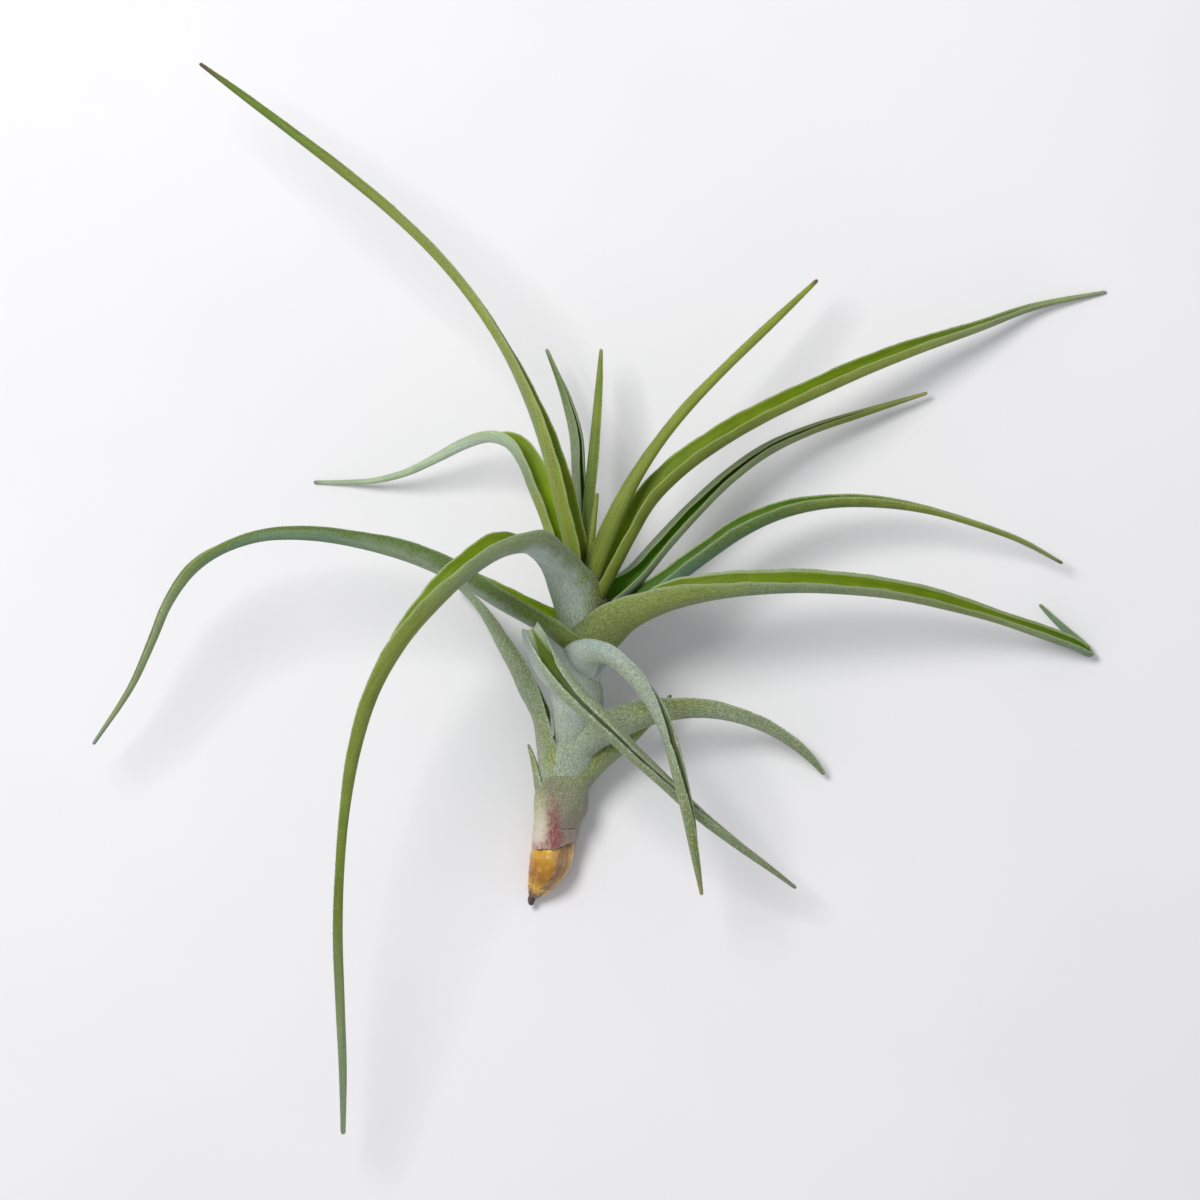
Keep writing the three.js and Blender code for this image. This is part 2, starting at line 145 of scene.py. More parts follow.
# The husk's pale left and grey right: its own tones with painted light and painted shade in them.
HUSK_PALE_LIT = (228, 216, 200)
HUSK_GREY_SHADED = (142, 130, 120)
ROSE_GREY = (184, 166, 156)
GREY_OLIVE = (132, 134, 108)
TIP_GREY = (122, 132, 122)
TIP_TAN = (148, 140, 92)
TIP_BROWN = (92, 74, 58)
SCALE_WHITE = (220, 226, 206)
ROSE = (140, 46, 62)
PLUM = (112, 74, 92)
AMBER = (184, 128, 4)
AMBER_PALE = (220, 174, 60)
AMBER_DEEP = (154, 96, 0)
AMBER_BROWN = (108, 62, 22)
DRY_BROWN = (172, 134, 88)
PAPER = (200, 172, 128)
STUB_BROWN = (74, 46, 40)
STUB_GREY = (104, 104, 108)
FLOOR_WHITE = (238, 238, 240)
FLOOR_GREY = (228, 229, 232)

# The stem's axis: x, y, z and the radius there.
STEM = [
    [-12.3, -55.6, 3.7, 1.4],
    [-11.4, -53.4, 4.1, 2.4],
    [-10.2, -50.4, 4.4, 3.2],
    [-8.6, -45.6, 4.7, 3.6],
    [-7.4, -40.0, 5.9, 4.3],
    [-6.2, -33.0, 8.4, 4.3],
    [-5.2, -25.0, 12.0, 4.0],
    [-4.6, -17.0, 15.6, 3.8],
    [-3.4, -9.0, 18.8, 3.5],
    [-2.5, -2.0, 21.6, 2.9],
    [-2.0, 4.0, 23.6, 2.0],
    [-1.8, 8.0, 24.8, 0.9],
]

# The dry base: papery remains of the oldest sheaths, closed round the foot of the stem.
DRY_BASE = [
    [-14.0, -60.5, 2.6, 0.6],
    [-13.4, -59.6, 2.8, 1.4],
    [-12.6, -58.2, 3.1, 2.4],
    [-11.6, -56.4, 3.5, 3.3],
    [-10.3, -53.7, 4.1, 4.2],
    [-9.5, -50.9, 4.3, 4.6],
    [-9.1, -48.6, 4.4, 4.6],
]

# Inside the lowest sheath the dry base ends in a collar, drawn in by this share of its radius.
COLLAR = [-8.8, -46.4, 4.5, 4.6]
COLLAR_TUCK = 0.07

# The stub of the runner.
STUB = [
    [-13.4, -59.6, 2.8, 0.75],
    [-13.8, -60.6, 2.6, 0.85],
    [-14.0, -61.4, 2.4, 0.7],
    [-14.1, -61.9, 2.3, 0.4],
]

# Each leaf, oldest and outermost first. side is where its midrib stands round the stem, in degrees from
# the top (0) towards the plant's right (90). route gives x, y, z and half width along the middle of the
# section, from the sheath to the tip. curl is how far each half of the section bends round, in degrees,
# and turn how far the channel has turned about the route. hem is how far askew a sheath's lower edge
# hangs, and lip how far in from its margins the channel is silvery. midrib, wing and channel are the
# outer face's colours down its middle and down its sides, and the inner face's. left_wing or right_wing
# takes the place of wing on that side of the midrib, for someone who looks towards the tip into the
# channel. tip is the tip's colour and the share of the route where it starts. dust is how thickly the
# pale scales lie. All these lists are spread evenly over the route.
LEAVES = [
    {
        "name": "leaf_01_old_right", "slot": "leaf_silver", "side": 100,
        "route": [
            [-9.1, -49.4, 5.0, 4.8], [-8.4, -44.8, 5.5, 5.15], [-7.3, -40.8, 6.7, 6.0],
            [-5.2, -37.0, 8.0, 5.5], [-0.6, -33.2, 8.8, 3.8], [4.8, -29.6, 9.2, 2.3],
            [9.2, -25.6, 8.8, 1.5], [12.5, -22.1, 8.2, 1.0], [14.4, -19.2, 7.6, 0.4],
        ],
        "curl": [165, 155, 105, 92, 90, 120],
        "turn": [-35, -35],
        "hem": 3.4,
        "midrib": [ROSE_GREY, GREY_OLIVE, GREY_OLIVE, SAGE, SAGE, OLIVE, OLIVE],
        "wing": [ROSE_GREY, HUSK_YELLOW, GREY_OLIVE] + 4 * [OLIVE],
        "channel": [SAGE] + 3 * [LEAF_GREEN],
        "tip": (TIP_BROWN, 0.9),
        "dust": [0.05, 0.15, 0.5, 0.5, 0.3, 0.1],
    },
    {
        "name": "leaf_02_left_bract", "slot": "leaf_silver", "side": -95,
        "route": [
            [-11.4, -42.0, 5.8, 3.2], [-12.5, -38.2, 6.6, 3.0], [-13.1, -35.0, 7.4, 2.2],
            [-13.7, -32.2, 7.9, 1.3], [-14.6, -29.2, 8.2, 0.4],
        ],
        "curl": [60, 60, 80],
        "turn": [0, 0],
        "midrib": [SILVER, SILVER_GREEN] + 2 * [YELLOW_GREEN],
        "wing": [SILVER, SILVER_GREEN] + 2 * [YELLOW_GREEN],
        "channel": [OLIVE, LEAF_GREEN, LEAF_GREEN],
        "tip": (TIP_GREY, 0.85),
        "dust": [0.6, 0.6, 0.4],
    },
    {
        "name": "leaf_03_low_left", "slot": "leaf_silver", "side": -70,
        "route": [
            [-8.0, -39.6, 6.4, 5.1], [-9.7, -34.4, 8.6, 4.2], [-11.2, -28.6, 10.6, 3.1],
            [-12.2, -23.2, 11.6, 2.9], [-14.6, -18.0, 11.8, 3.1], [-16.8, -13.4, 11.4, 2.6],
            [-19.6, -9.0, 10.4, 1.9], [-22.2, -4.5, 9.0, 1.35], [-25.4, -0.2, 7.0, 0.9],
            [-29.6, 3.6, 4.8, 0.4],
        ],
        "curl": [120, 100, 110, 120, 140],
        "turn": [0, -30, 0, 10],
        "midrib": 3 * [SILVER] + 4 * [SILVER_GREEN],
        "wing": [HUSK_YELLOW, YELLOW_GREEN] + 3 * [SAGE] + 2 * [SILVER_GREEN],
        "right_wing": [PAINTED_LIGHT_SILVER, PAINTED_LIGHT_SILVER] + 3 * [SILVER] + 2 * [SILVER_GREEN],
        "channel": 3 * [BRIGHT_GREEN] + 2 * [LEAF_GREEN],
        "tip": (TIP_GREY, 0.93),
        "dust": [0.9, 0.75, 0.55, 0.5, 0.4],
    },
    {
        "name": "leaf_04_low_right", "slot": "leaf_silver", "side": 45,
        "route": [
            [-6.0, -33.4, 9.2, 5.2], [-4.2, -29.4, 11.4, 5.0], [-0.4, -26.8, 14.2, 4.5],
            [4.3, -25.1, 16.0, 4.1], [9.0, -23.5, 16.6, 3.4], [14.5, -22.6, 16.0, 2.8],
            [20.0, -22.3, 14.8, 2.5], [26.0, -23.1, 12.8, 2.25], [32.2, -25.0, 10.2, 2.15],
            [38.2, -28.3, 7.2, 1.7], [42.5, -31.9, 4.8, 1.15], [45.5, -35.4, 2.4, 0.45],
        ],
        "curl": [130, 105, 95, 100, 110, 135],
        "turn": [0, -12, -20, 0, 40, 50],
        "hem": 4.5,
        "midrib": [SILVER, SILVER, SILVER_GREEN, SAGE, SAGE, SILVER_GREEN, SILVER_GREEN, SAGE, SAGE],
        "wing": 3 * [SILVER_GREEN] + [OLIVE, OLIVE] + 4 * [SAGE],
        "channel": [OLIVE, LEAF_GREEN, LEAF_GREEN, OLIVE, OLIVE],
        "tip": (TIP_GREY, 0.96),
        "dust": [1.0, 1.0, 0.8, 0.7, 0.6, 0.5, 0.3],
    },
    {
        "name": "leaf_05_front_left", "slot": "leaf_silver", "side": -20,
        "route": [
            [-5.6, -28.4, 11.6, 3.9], [-5.2, -24.0, 13.8, 4.8], [-4.9, -20.0, 16.2, 5.6],
            [-6.2, -16.6, 19.8, 5.0], [-9.2, -13.8, 25.2, 4.1], [-12.2, -9.4, 31.2, 2.8],
            [-13.5, -6.2, 36.8, 1.9], [-13.1, -6.4, 40.6, 1.8], [-9.6, -13.0, 42.2, 2.35],
            [-5.7, -18.2, 42.0, 2.4], [0.0, -23.6, 40.4, 2.2], [5.7, -29.4, 37.4, 1.8],
            [12.6, -35.9, 33.0, 1.5], [19.7, -42.7, 27.8, 1.3], [27.5, -49.0, 22.0, 0.95],
            [34.2, -54.0, 16.6, 0.65], [39.5, -58.1, 12.2, 0.38],
        ],
        "curl": [140, 137, 134, 131, 128, 115, 88, 92, 150, 162, 166, 168, 168, 168, 168, 168, 168],
        "turn": [0, 0, 18, 39, 50, 52, 41, -35, -80],
        "lip": [0.8, 0.8, 1.8, 3.6, 3.2, 1.4, 0.9, 0.9, 0.6],
        "midrib": [SILVER, PAINTED_LIGHT_SILVER, PAINTED_LIGHT_SILVER, BLUE_SILVER] + 2 * [SILVER_GREEN] + 3 * [SAGE],
        "wing": [SAGE, SILVER_GREEN, PAINTED_LIGHT_SILVER, BLUE_SILVER, SILVER_GREEN] + 4 * [SAGE],
        "right_wing": 3 * [PAINTED_LIGHT_SILVER] + [BLUE_SILVER, SILVER_GREEN] + 4 * [SAGE],
        # The sage and silvery green stops past the bend are painted light in the channel's narrow, shaded
        # valley.
        "channel": [
            SAGE, SAGE, FRESH_GREEN, LEAF_GREEN, LEAF_GREEN, LEAF_GREEN, SAGE, SILVER_GREEN, SILVER_GREEN,
            SAGE, SAGE,
        ],
        "tip": (TIP_GREY, 0.96),
        "dust": [1.0, 0.9, 0.8, 0.7, 0.6, 0.5, 0.3],
    },
    {
        "name": "leaf_06_front_right", "slot": "leaf_silver", "side": 25,
        "route": [
            [-4.4, -20.6, 14.6, 4.7], [-3.8, -16.0, 17.6, 4.7], [-3.4, -12.6, 22.2, 4.3],
            [-2.6, -11.3, 28.0, 3.8], [-1.0, -10.8, 33.6, 3.1], [2.4, -11.4, 37.4, 2.5],
            [7.2, -15.9, 38.6, 2.1], [11.2, -21.7, 38.4, 1.7], [13.9, -27.8, 37.4, 1.55],
            [15.7, -34.8, 35.8, 1.55], [17.5, -42.7, 33.4, 1.35], [18.9, -50.8, 30.8, 0.92],
            [20.3, -58.9, 28.0, 0.38],
        ],
        "curl": [130, 110, 110, 125, 150, 155, 155],
        "turn": [0, 0, -43, -50, 35, -10, -70],
        "midrib": 3 * [PAINTED_LIGHT_SILVER] + 3 * [SILVER] + [SILVER_GREEN, SAGE, SAGE],
        "wing": 3 * [PAINTED_LIGHT_SILVER] + [BLUE_SILVER, SILVER, SILVER, SAGE, OLIVE, OLIVE],
        "channel": [PAINTED_LIGHT_SILVER, PAINTED_LIGHT_SILVER, BLUE_SILVER, SAGE, SAGE, OLIVE],
        "tip": (TIP_TAN, 0.93),
        "dust": [1.0, 0.9, 0.9, 0.8, 0.6, 0.5, 0.3],
    },
    {
        "name": "leaf_07_left_arching", "slot": "leaf_green", "side": -60,
        "route": [
            [-4.2, -15.4, 16.4, 4.8], [-4.6, -10.6, 18.8, 4.8], [-7.2, -7.0, 21.4, 4.3],
            [-12.0, -3.9, 24.0, 3.8], [-19.0, -0.2, 28.0, 3.4], [-27.2, 4.6, 32.0, 3.0],
            [-37.1, 8.9, 35.6, 2.5], [-48.1, 11.7, 38.2, 1.9], [-58.0, 13.0, 39.2, 1.6],
            [-66.9, 12.6, 38.8, 1.35], [-75.0, 10.1, 37.2, 1.3], [-81.1, 6.1, 34.8, 1.35],
            [-85.9, -0.4, 31.6, 1.1], [-89.4, -8.2, 28.2, 0.95], [-93.9, -17.5, 23.6, 0.72],
            [-101.8, -29.0, 18.0, 0.38],
        ],
        "curl": [110, 105, 115, 125, 155, 160],
        "turn": [0, -25, -10, 30, 40, -20, -50, -45],
        "midrib": [YELLOW_GREEN, SAGE, SILVER, SILVER, SILVER_GREEN] + 3 * [BLUE_GREEN] + 3 * [SAGE],
        "wing": [YELLOW_GREEN, OLIVE, LEAF_GREEN] + 4 * [DARK_GREEN] + [LEAF_GREEN] + 3 * [SAGE],
        "channel": 2 * [PAINTED_LIGHT_GREEN] + [BRIGHT_GREEN, LEAF_GREEN, OLIVE, SAGE],
        "tip": (TIP_GREY, 0.95),
        "dust": [0.6, 0.5, 0.45, 0.4, 0.3, 0.3, 0.3, 0.4, 0.3],
    },
    {
        "name": "leaf_08_right_folded", "slot": "leaf_green", "side": 50,
        "route": [
            [-4.0, -14.6, 17.2, 5.2], [-2.2, -9.6, 20.0, 5.5], [1.2, -6.4, 23.0, 5.2],
            [5.6, -3.1, 25.8, 4.8], [11.9, -0.2, 27.8, 4.6], [19.7, 1.7, 28.8, 4.1],
            [29.0, 2.8, 28.8, 3.5], [40.0, 3.2, 27.6, 3.1], [50.0, 2.7, 25.4, 2.85],
            [60.0, 1.5, 22.0, 2.55], [70.0, -0.7, 17.6, 2.2], [80.1, -3.6, 12.6, 1.65],
            [90.3, -7.0, 7.2, 1.7], [96.4, -9.2, 4.4, 1.5], [99.2, -10.6, 2.4, 1.15],
            [97.2, -8.4, 1.0, 0.95], [93.5, -5.1, 0.9, 0.75], [89.2, -0.9, 2.2, 0.38],
        ],
        "curl": [150, 110, 100, 100, 110, 125, 150],
        "turn": [0, 3, 40, 52, 60, 60, 60],
        "hem": 9.0,
        "lip": [0.1, 0.1, 0.3, 0.9, 0.9, 0.8, 0.5, 0.3, 0.1],
        "midrib": [
            BLUE_SILVER, DARK_OLIVE, OLIVE, SAGE, BLUE_GREEN, SAGE, SAGE, BLUE_GREEN, BLUE_GREEN,
            BLUE_GREEN, SAGE,
        ],
        "wing": [
            BLUE_SILVER, DARK_OLIVE, OLIVE, OLIVE, SAGE, SAGE, OLIVE, SAGE, BLUE_GREEN, BLUE_GREEN, SAGE,
        ],
        "left_wing": 3 * [BLUE_SILVER] + 5 * [SAGE] + 3 * [BLUE_GREEN],
        "channel": 4 * [BRIGHT_GREEN] + [FRESH_GREEN, LEAF_GREEN],
        "dust": [0.6, 0.6, 0.5, 0.45, 0.4, 0.3, 0.3, 0.4],
    },
    {
        "name": "leaf_09_left_hanging", "slot": "leaf_green", "side": -15,
        "route": [
            [-3.6, -9.4, 19.2, 5.2], [-4.0, -4.0, 21.8, 5.7], [-5.6, 1.2, 26.2, 5.6],
            [-8.0, 5.8, 32.2, 4.6], [-10.8, 9.0, 39.4, 4.1], [-14.4, 11.2, 46.6, 4.3],
            [-19.8, 10.3, 52.2, 4.1], [-25.9, 6.3, 55.6, 3.7], [-32.4, 0.2, 57.4, 3.6],
            [-39.0, -7.8, 57.6, 3.0], [-44.3, -17.5, 56.4, 2.2], [-47.8, -28.7, 53.6, 1.6],
            [-50.0, -41.0, 49.6, 1.15], [-51.2, -53.0, 45.0, 1.0], [-51.8, -66.0, 39.4, 1.05],
            [-51.6, -80.0, 33.0, 1.0], [-51.3, -94.0, 26.2, 0.85], [-51.5, -107.2, 19.6, 0.52],
        ],
        "curl": [95, 85, 95, 100, 120, 135, 140],
        "turn": [0, 0, -12, 4, 38, 45, 45],
        # The pale first stops of the midrib and the right wing are painted light on the shaded base of the
        # arch.
        "midrib": [
            SILVER, PAINTED_LIGHT_SILVER, PAINTED_LIGHT_SILVER, PAINTED_LIGHT_SILVER, SILVER_GREEN, YELLOW_GREEN, OLIVE, OLIVE, OLIVE, SAGE,
            SILVER_GREEN,
        ],
        "wing": [DARK_OLIVE, OLIVE, SAGE, SILVER_GREEN, SAGE, SAGE] + 3 * [OLIVE] + [SAGE, SILVER_GREEN],
        "right_wing": [
            PAINTED_LIGHT_SILVER, PAINTED_LIGHT_SILVER, PALE_MINT, SILVER, SILVER_GREEN, SAGE, OLIVE, OLIVE, LEAF_GREEN, SAGE,
            BLUE_GREEN,
        ],
        "left_wing": [OLIVE, OLIVE] + 3 * [SAGE] + 3 * [OLIVE] + [LEAF_GREEN, SAGE, BLUE_GREEN],
        "channel": 4 * [BRIGHT_GREEN] + 2 * [LEAF_GREEN],
        "dust": [0.9, 0.8, 0.5, 0.3, 0.25, 0.2, 0.2, 0.3],
    },
    {
        "name": "leaf_10_right_arching", "slot": "leaf_green", "side": 110,
        "route": [
            [-3.0, -8.0, 19.2, 3.8], [-0.4, -4.2, 20.6, 3.5], [5.6, -1.2, 20.8, 3.0],
            [13.2, 3.4, 20.6, 2.8], [20.7, 9.0, 20.4, 2.75], [28.6, 14.4, 20.2, 2.65],
            [36.6, 17.8, 19.6, 2.25], [46.0, 19.6, 18.2, 1.85], [56.1, 19.6, 16.4, 1.55],
            [66.2, 18.0, 14.0, 1.0], [76.4, 15.1, 11.2, 0.8], [85.0, 12.0, 8.6, 0.7],
            [93.7, 7.4, 6.0, 0.38],
        ],
        "curl": [100, 100, 110, 115, 125, 140],
        "turn": [0, -6, -6, -6],
        "midrib": 4 * [TEAL_GREEN] + 2 * [DARK_GREEN] + [OLIVE, OLIVE, SAGE],
        "wing": 3 * [TEAL_GREEN] + 2 * [DARK_GREEN] + 3 * [OLIVE] + [SAGE],
        "channel": 2 * [DEEP_GREEN] + 2 * [FRESH_GREEN] + [LEAF_GREEN, OLIVE],
        "tip": (TIP_BROWN, 0.97),
        "dust": [0.4, 0.35, 0.35, 0.3, 0.3, 0.2],
    },
    {
        "name": "leaf_11_right_middle", "slot": "leaf_green", "side": 145,
        "route": [
            [-2.8, -4.8, 19.6, 3.3], [1.0, 0.2, 19.8, 3.0], [6.8, 4.8, 19.0, 2.4],
            [12.4, 11.2, 18.0, 2.1], [18.9, 18.2, 16.8, 1.9], [25.8, 24.7, 15.2, 1.65],
            [33.4, 30.2, 13.0, 1.45], [42.3, 34.3, 10.2, 1.15], [53.3, 37.9, 6.8, 0.86],
            [66.4, 42.0, 3.2, 0.38],
        ],
        "curl": [115, 150, 160, 166, 168],
        "turn": [5, 32, 32, 25, 10],
        "midrib": 6 * [SAGE] + [OLIVE, OLIVE],
        "wing": 3 * [SILVER_GREEN] + 3 * [SAGE] + [OLIVE, OLIVE],
        "channel": 3 * [PAINTED_LIGHT_LUSH_GREEN] + [FRESH_GREEN, LEAF_GREEN, OLIVE],
        "tip": (TIP_TAN, 0.93),
        "dust": [0.5, 0.4, 0.35, 0.3, 0.2, 0.1],
    },
    {
        "name": "leaf_12_left_twisted", "slot": "leaf_green", "side": -120,
        "route": [
            [-3.6, -3.8, 19.6, 3.6], [-5.4, 3.4, 20.8, 3.5], [-8.2, 10.9, 22.4, 3.4],
            [-10.4, 17.3, 23.4, 3.3], [-12.5, 22.6, 23.8, 3.3], [-14.6, 27.6, 23.4, 3.2],
            [-17.7, 31.5, 22.0, 2.8], [-22.0, 32.6, 19.6, 1.8], [-27.0, 31.3, 16.0, 1.35],
            [-33.1, 28.4, 11.6, 1.0], [-39.2, 25.7, 7.4, 0.8], [-45.5, 24.2, 3.8, 0.65],
            [-51.8, 23.9, 1.4, 0.5], [-58.2, 23.9, 0.3, 0.38],
        ],
        "curl": [90, 95, 95, 105, 130, 140],
        "turn": [0, 0, -5, 8, 45, 60, 60],
        "midrib": 3 * [YELLOW_GREEN] + [SILVER_GREEN, PALE_MINT, PALE_MINT] + 3 * [MINT],
        "wing": 3 * [YELLOW_GREEN] + [SILVER_GREEN] + 5 * [MINT],
        "channel": 2 * [PAINTED_LIGHT_GREEN] + 2 * [BRIGHT_GREEN] + [SAGE, MINT],
        "tip": (TIP_GREY, 0.97),
        "dust": [0.5, 0.5, 0.4, 0.3, 0.2, 0.2, 0.1],
    },
    {
        "name": "leaf_13_right_long", "slot": "leaf_green", "side": 90,
        "route": [
            [-2.6, -3.4, 21.6, 3.1], [0.0, 1.4, 23.2, 2.9], [2.8, 6.9, 24.6, 2.7],
            [5.9, 13.3, 25.6, 3.05], [9.8, 20.2, 26.2, 3.45], [16.0, 26.4, 26.2, 3.3],
            [23.9, 32.0, 25.2, 3.0], [33.1, 37.3, 23.4, 2.85], [43.2, 42.1, 20.6, 2.7],
            [53.2, 46.6, 17.0, 2.45], [64.3, 51.0, 12.6, 2.1], [76.4, 55.1, 7.8, 1.4],
            [88.1, 59.4, 3.3, 0.9], [103.0, 62.6, 0.25, 0.38],
        ],
        "curl": [95, 95, 95, 100, 110, 130],
        "turn": [0, 20, 26, 29, 32, 33],
        "midrib": 2 * [DARK_OLIVE] + 2 * [LEAF_GREEN] + [OLIVE, OLIVE, YELLOW_GREEN, SAGE, SAGE],
        "wing": 5 * [OLIVE] + 2 * [YELLOW_GREEN] + [SAGE, SAGE],
        "channel": 2 * [PAINTED_LIGHT_GREEN] + 4 * [BRIGHT_GREEN] + [LEAF_GREEN, SAGE],
        "tip": (TIP_GREY, 0.96),
        "dust": [0.2, 0.1, 0.1, 0.15, 0.25, 0.3, 0.2],
    },
    {
        "name": "leaf_14_right_upright", "slot": "leaf_green", "side": 35,
        "route": [
            [-2.6, -1.6, 23.0, 2.6], [-1.6, 3.6, 25.4, 2.5], [0.2, 9.0, 27.2, 2.25],
            [3.1, 15.8, 28.6, 2.0], [6.7, 23.3, 29.0, 1.6], [11.8, 31.2, 28.2, 1.3],
            [17.9, 38.8, 26.4, 1.2], [25.0, 46.2, 23.8, 1.02], [32.5, 53.5, 20.6, 0.98],
            [38.3, 59.1, 18.0, 0.75], [43.8, 64.4, 15.8, 0.42],
        ],
        "curl": [95, 100, 105, 115, 140],
        "turn": [0, 0],
        "midrib": [DARK_OLIVE, OLIVE, OLIVE] + 4 * [YELLOW_GREEN],
        "wing": 2 * [DARK_OLIVE] + [OLIVE, OLIVE] + 3 * [YELLOW_GREEN],
        "channel": [DEEP_GREEN, FRESH_GREEN, LEAF_GREEN],
        "tip": (TIP_BROWN, 0.965),
        "dust": [0.2, 0.15, 0.2, 0.2, 0.2, 0.1],
    },
    {
        "name": "leaf_15_left_long", "slot": "leaf_green", "side": -105,
        "route": [
            [-3.2, -2.4, 22.6, 3.2], [-4.1, 3.4, 25.6, 3.4], [-5.3, 10.3, 28.6, 3.55],
            [-7.4, 19.8, 32.2, 3.6], [-10.0, 29.7, 35.6, 3.0], [-13.7, 39.4, 38.4, 2.15],
            [-18.5, 49.2, 40.6, 1.5], [-24.8, 59.1, 42.0, 1.4], [-32.3, 68.2, 42.4, 1.3],
            [-41.3, 76.9, 41.8, 1.28], [-51.1, 85.0, 40.2, 1.22], [-60.9, 92.6, 37.8, 1.05],
            [-70.5, 99.9, 34.8, 0.85], [-79.7, 106.8, 31.4, 0.4],
        ],
        "curl": [95, 95, 105, 125, 140, 145],
        "turn": [0, 0, 3, 16, 26, 31, 31],
        "midrib": [
            OLIVE, YELLOW_GREEN, YELLOW_GREEN, SILVER_GREEN, YELLOW_GREEN, YELLOW_GREEN, OLIVE,
            LEAF_GREEN, LEAF_GREEN,
        ],
        "wing": [OLIVE, OLIVE] + 3 * [YELLOW_GREEN] + [OLIVE, OLIVE] + 2 * [LEAF_GREEN],
        "channel": 3 * [BRIGHT_GREEN] + [LEAF_GREEN, OLIVE, OLIVE],
        "tip": (TIP_BROWN, 0.94),
        "dust": [0.1, 0.15, 0.4, 0.5, 0.4, 0.2, 0.1],
    },
    {
        "name": "leaf_16_inner_left", "slot": "leaf_green", "side": -140,
        "route": [
            [-2.9, 1.0, 22.0, 1.8], [-3.3, 9.0, 21.2, 1.6], [-3.8, 17.0, 20.0, 1.5],
            [-4.3, 25.0, 18.6, 1.5], [-4.8, 33.0, 17.0, 1.45], [-6.7, 40.3, 15.2, 1.1],
            [-8.7, 45.5, 13.8, 0.65], [-10.8, 50.6, 12.6, 0.38],
        ],
        "curl": [100, 150, 168, 168],
        "turn": [0, -8, -8],
        "midrib": 4 * [SILVER_GREEN] + [SAGE, SAGE],
        "wing": [SAGE] + 2 * [SILVER_GREEN] + [SAGE] + 2 * [DARK_GREEN],
        "channel": 3 * [DEEP_GREEN],
        "tip": (TIP_GREY, 0.93),
        "dust": [0.4, 0.5, 0.5, 0.4, 0.2],
    },
    {
        "name": "leaf_17_inner_right", "slot": "leaf_green", "side": -65,
        "route": [
            [-2.0, 2.0, 23.6, 1.7], [-2.6, 9.0, 23.6, 1.7], [-2.7, 17.0, 22.8, 1.65],
            [-1.9, 26.0, 21.2, 1.5], [-1.0, 35.4, 18.8, 1.25], [-0.3, 43.4, 16.2, 0.88],
            [0.2, 50.6, 13.6, 0.38],
        ],
        "curl": [90, 95, 100, 130],
        "turn": [0, 0],
        "midrib": 3 * [LEAF_GREEN] + [OLIVE, OLIVE],
        "wing": 3 * [LEAF_GREEN] + [OLIVE, OLIVE],
        "channel": [DEEP_GREEN, FRESH_GREEN, FRESH_GREEN],
        "tip": (TIP_TAN, 0.94),
        "dust": [0.1, 0.2, 0.2, 0.1],
    },
    {
        "name": "leaf_18_heart", "slot": "leaf_green", "side": 20,
        "route": [
            [-2.0, 4.0, 25.2, 1.0], [-1.9, 9.4, 26.2, 0.9], [-1.3, 15.4, 26.6, 0.7],
            [-0.5, 21.4, 26.4, 0.38],
        ],
        "curl": [110, 110, 130],
        "turn": [0, 0],
        "midrib": 2 * [YELLOW_GREEN] + [OLIVE],
        "wing": 3 * [OLIVE],
        "channel": 2 * [FRESH_GREEN],
        "dust": [0.4, 0.3, 0.2],
    },
]


# Curves

def catmull(rows, u, centripetal):
    """Points of the Catmull-Rom curve through rows, at the shares u of its way."""
    rows = np.asarray(rows, float)
    ends = np.vstack([2 * rows[0] - rows[1], rows, 2 * rows[-1] - rows[-2]])
    place = np.asarray(u) * (len(rows) - 1)
    step = np.minimum(place.astype(int), len(rows) - 2)
    w = (place - step)[:, None]
    p0, p1, p2, p3 = (ends[step + k] for k in range(4))
    if centripetal:
        d0, d1, d2 = (
            np.sqrt(np.linalg.norm(b - a, axis=1))[:, None] for a, b in ((p0, p1), (p1, p2), (p2, p3)))
        t1 = ((p1 - p0) / d0 - (p2 - p0) / (d0 + d1) + (p2 - p1) / d1) * d1
        t2 = ((p2 - p1) / d1 - (p3 - p1) / (d1 + d2) + (p3 - p2) / d2) * d1
    else:
        t1 = (p2 - p0) / 2
        t2 = (p3 - p1) / 2
    square = -3 * p1 + 3 * p2 - 2 * t1 - t2
    cube = 2 * p1 - 2 * p2 + t1 + t2
    return p1 + t1 * w + square * w ** 2 + cube * w ** 3


def unit(vectors):
    return vectors / np.linalg.norm(vectors, axis=-1, keepdims=True)


def tangents(rows, u):
    """Which way the curve through rows runs, at the shares u."""
    reach = 1e-4
    ahead = catmull(rows, np.minimum(u + reach, 1), True)
    behind = catmull(rows, np.maximum(u - reach, 0), True)
    return unit(ahead - behind)


def along(values, u):
    """A number that a list gives at even steps, at the shares u."""
    return np.interp(u, np.linspace(0, 1, len(values)), values)


def inward(side, tangent):
    """Which way the channel faces at the sheath: back towards the stem's axis."""
    up = unit(np.array([0.0, 0.0, 1.0]) - tangent * tangent[2])
    right = np.cross(tangent, up)
    angle = math.radians(side)
    return -math.cos(angle) * up - math.sin(angle) * right


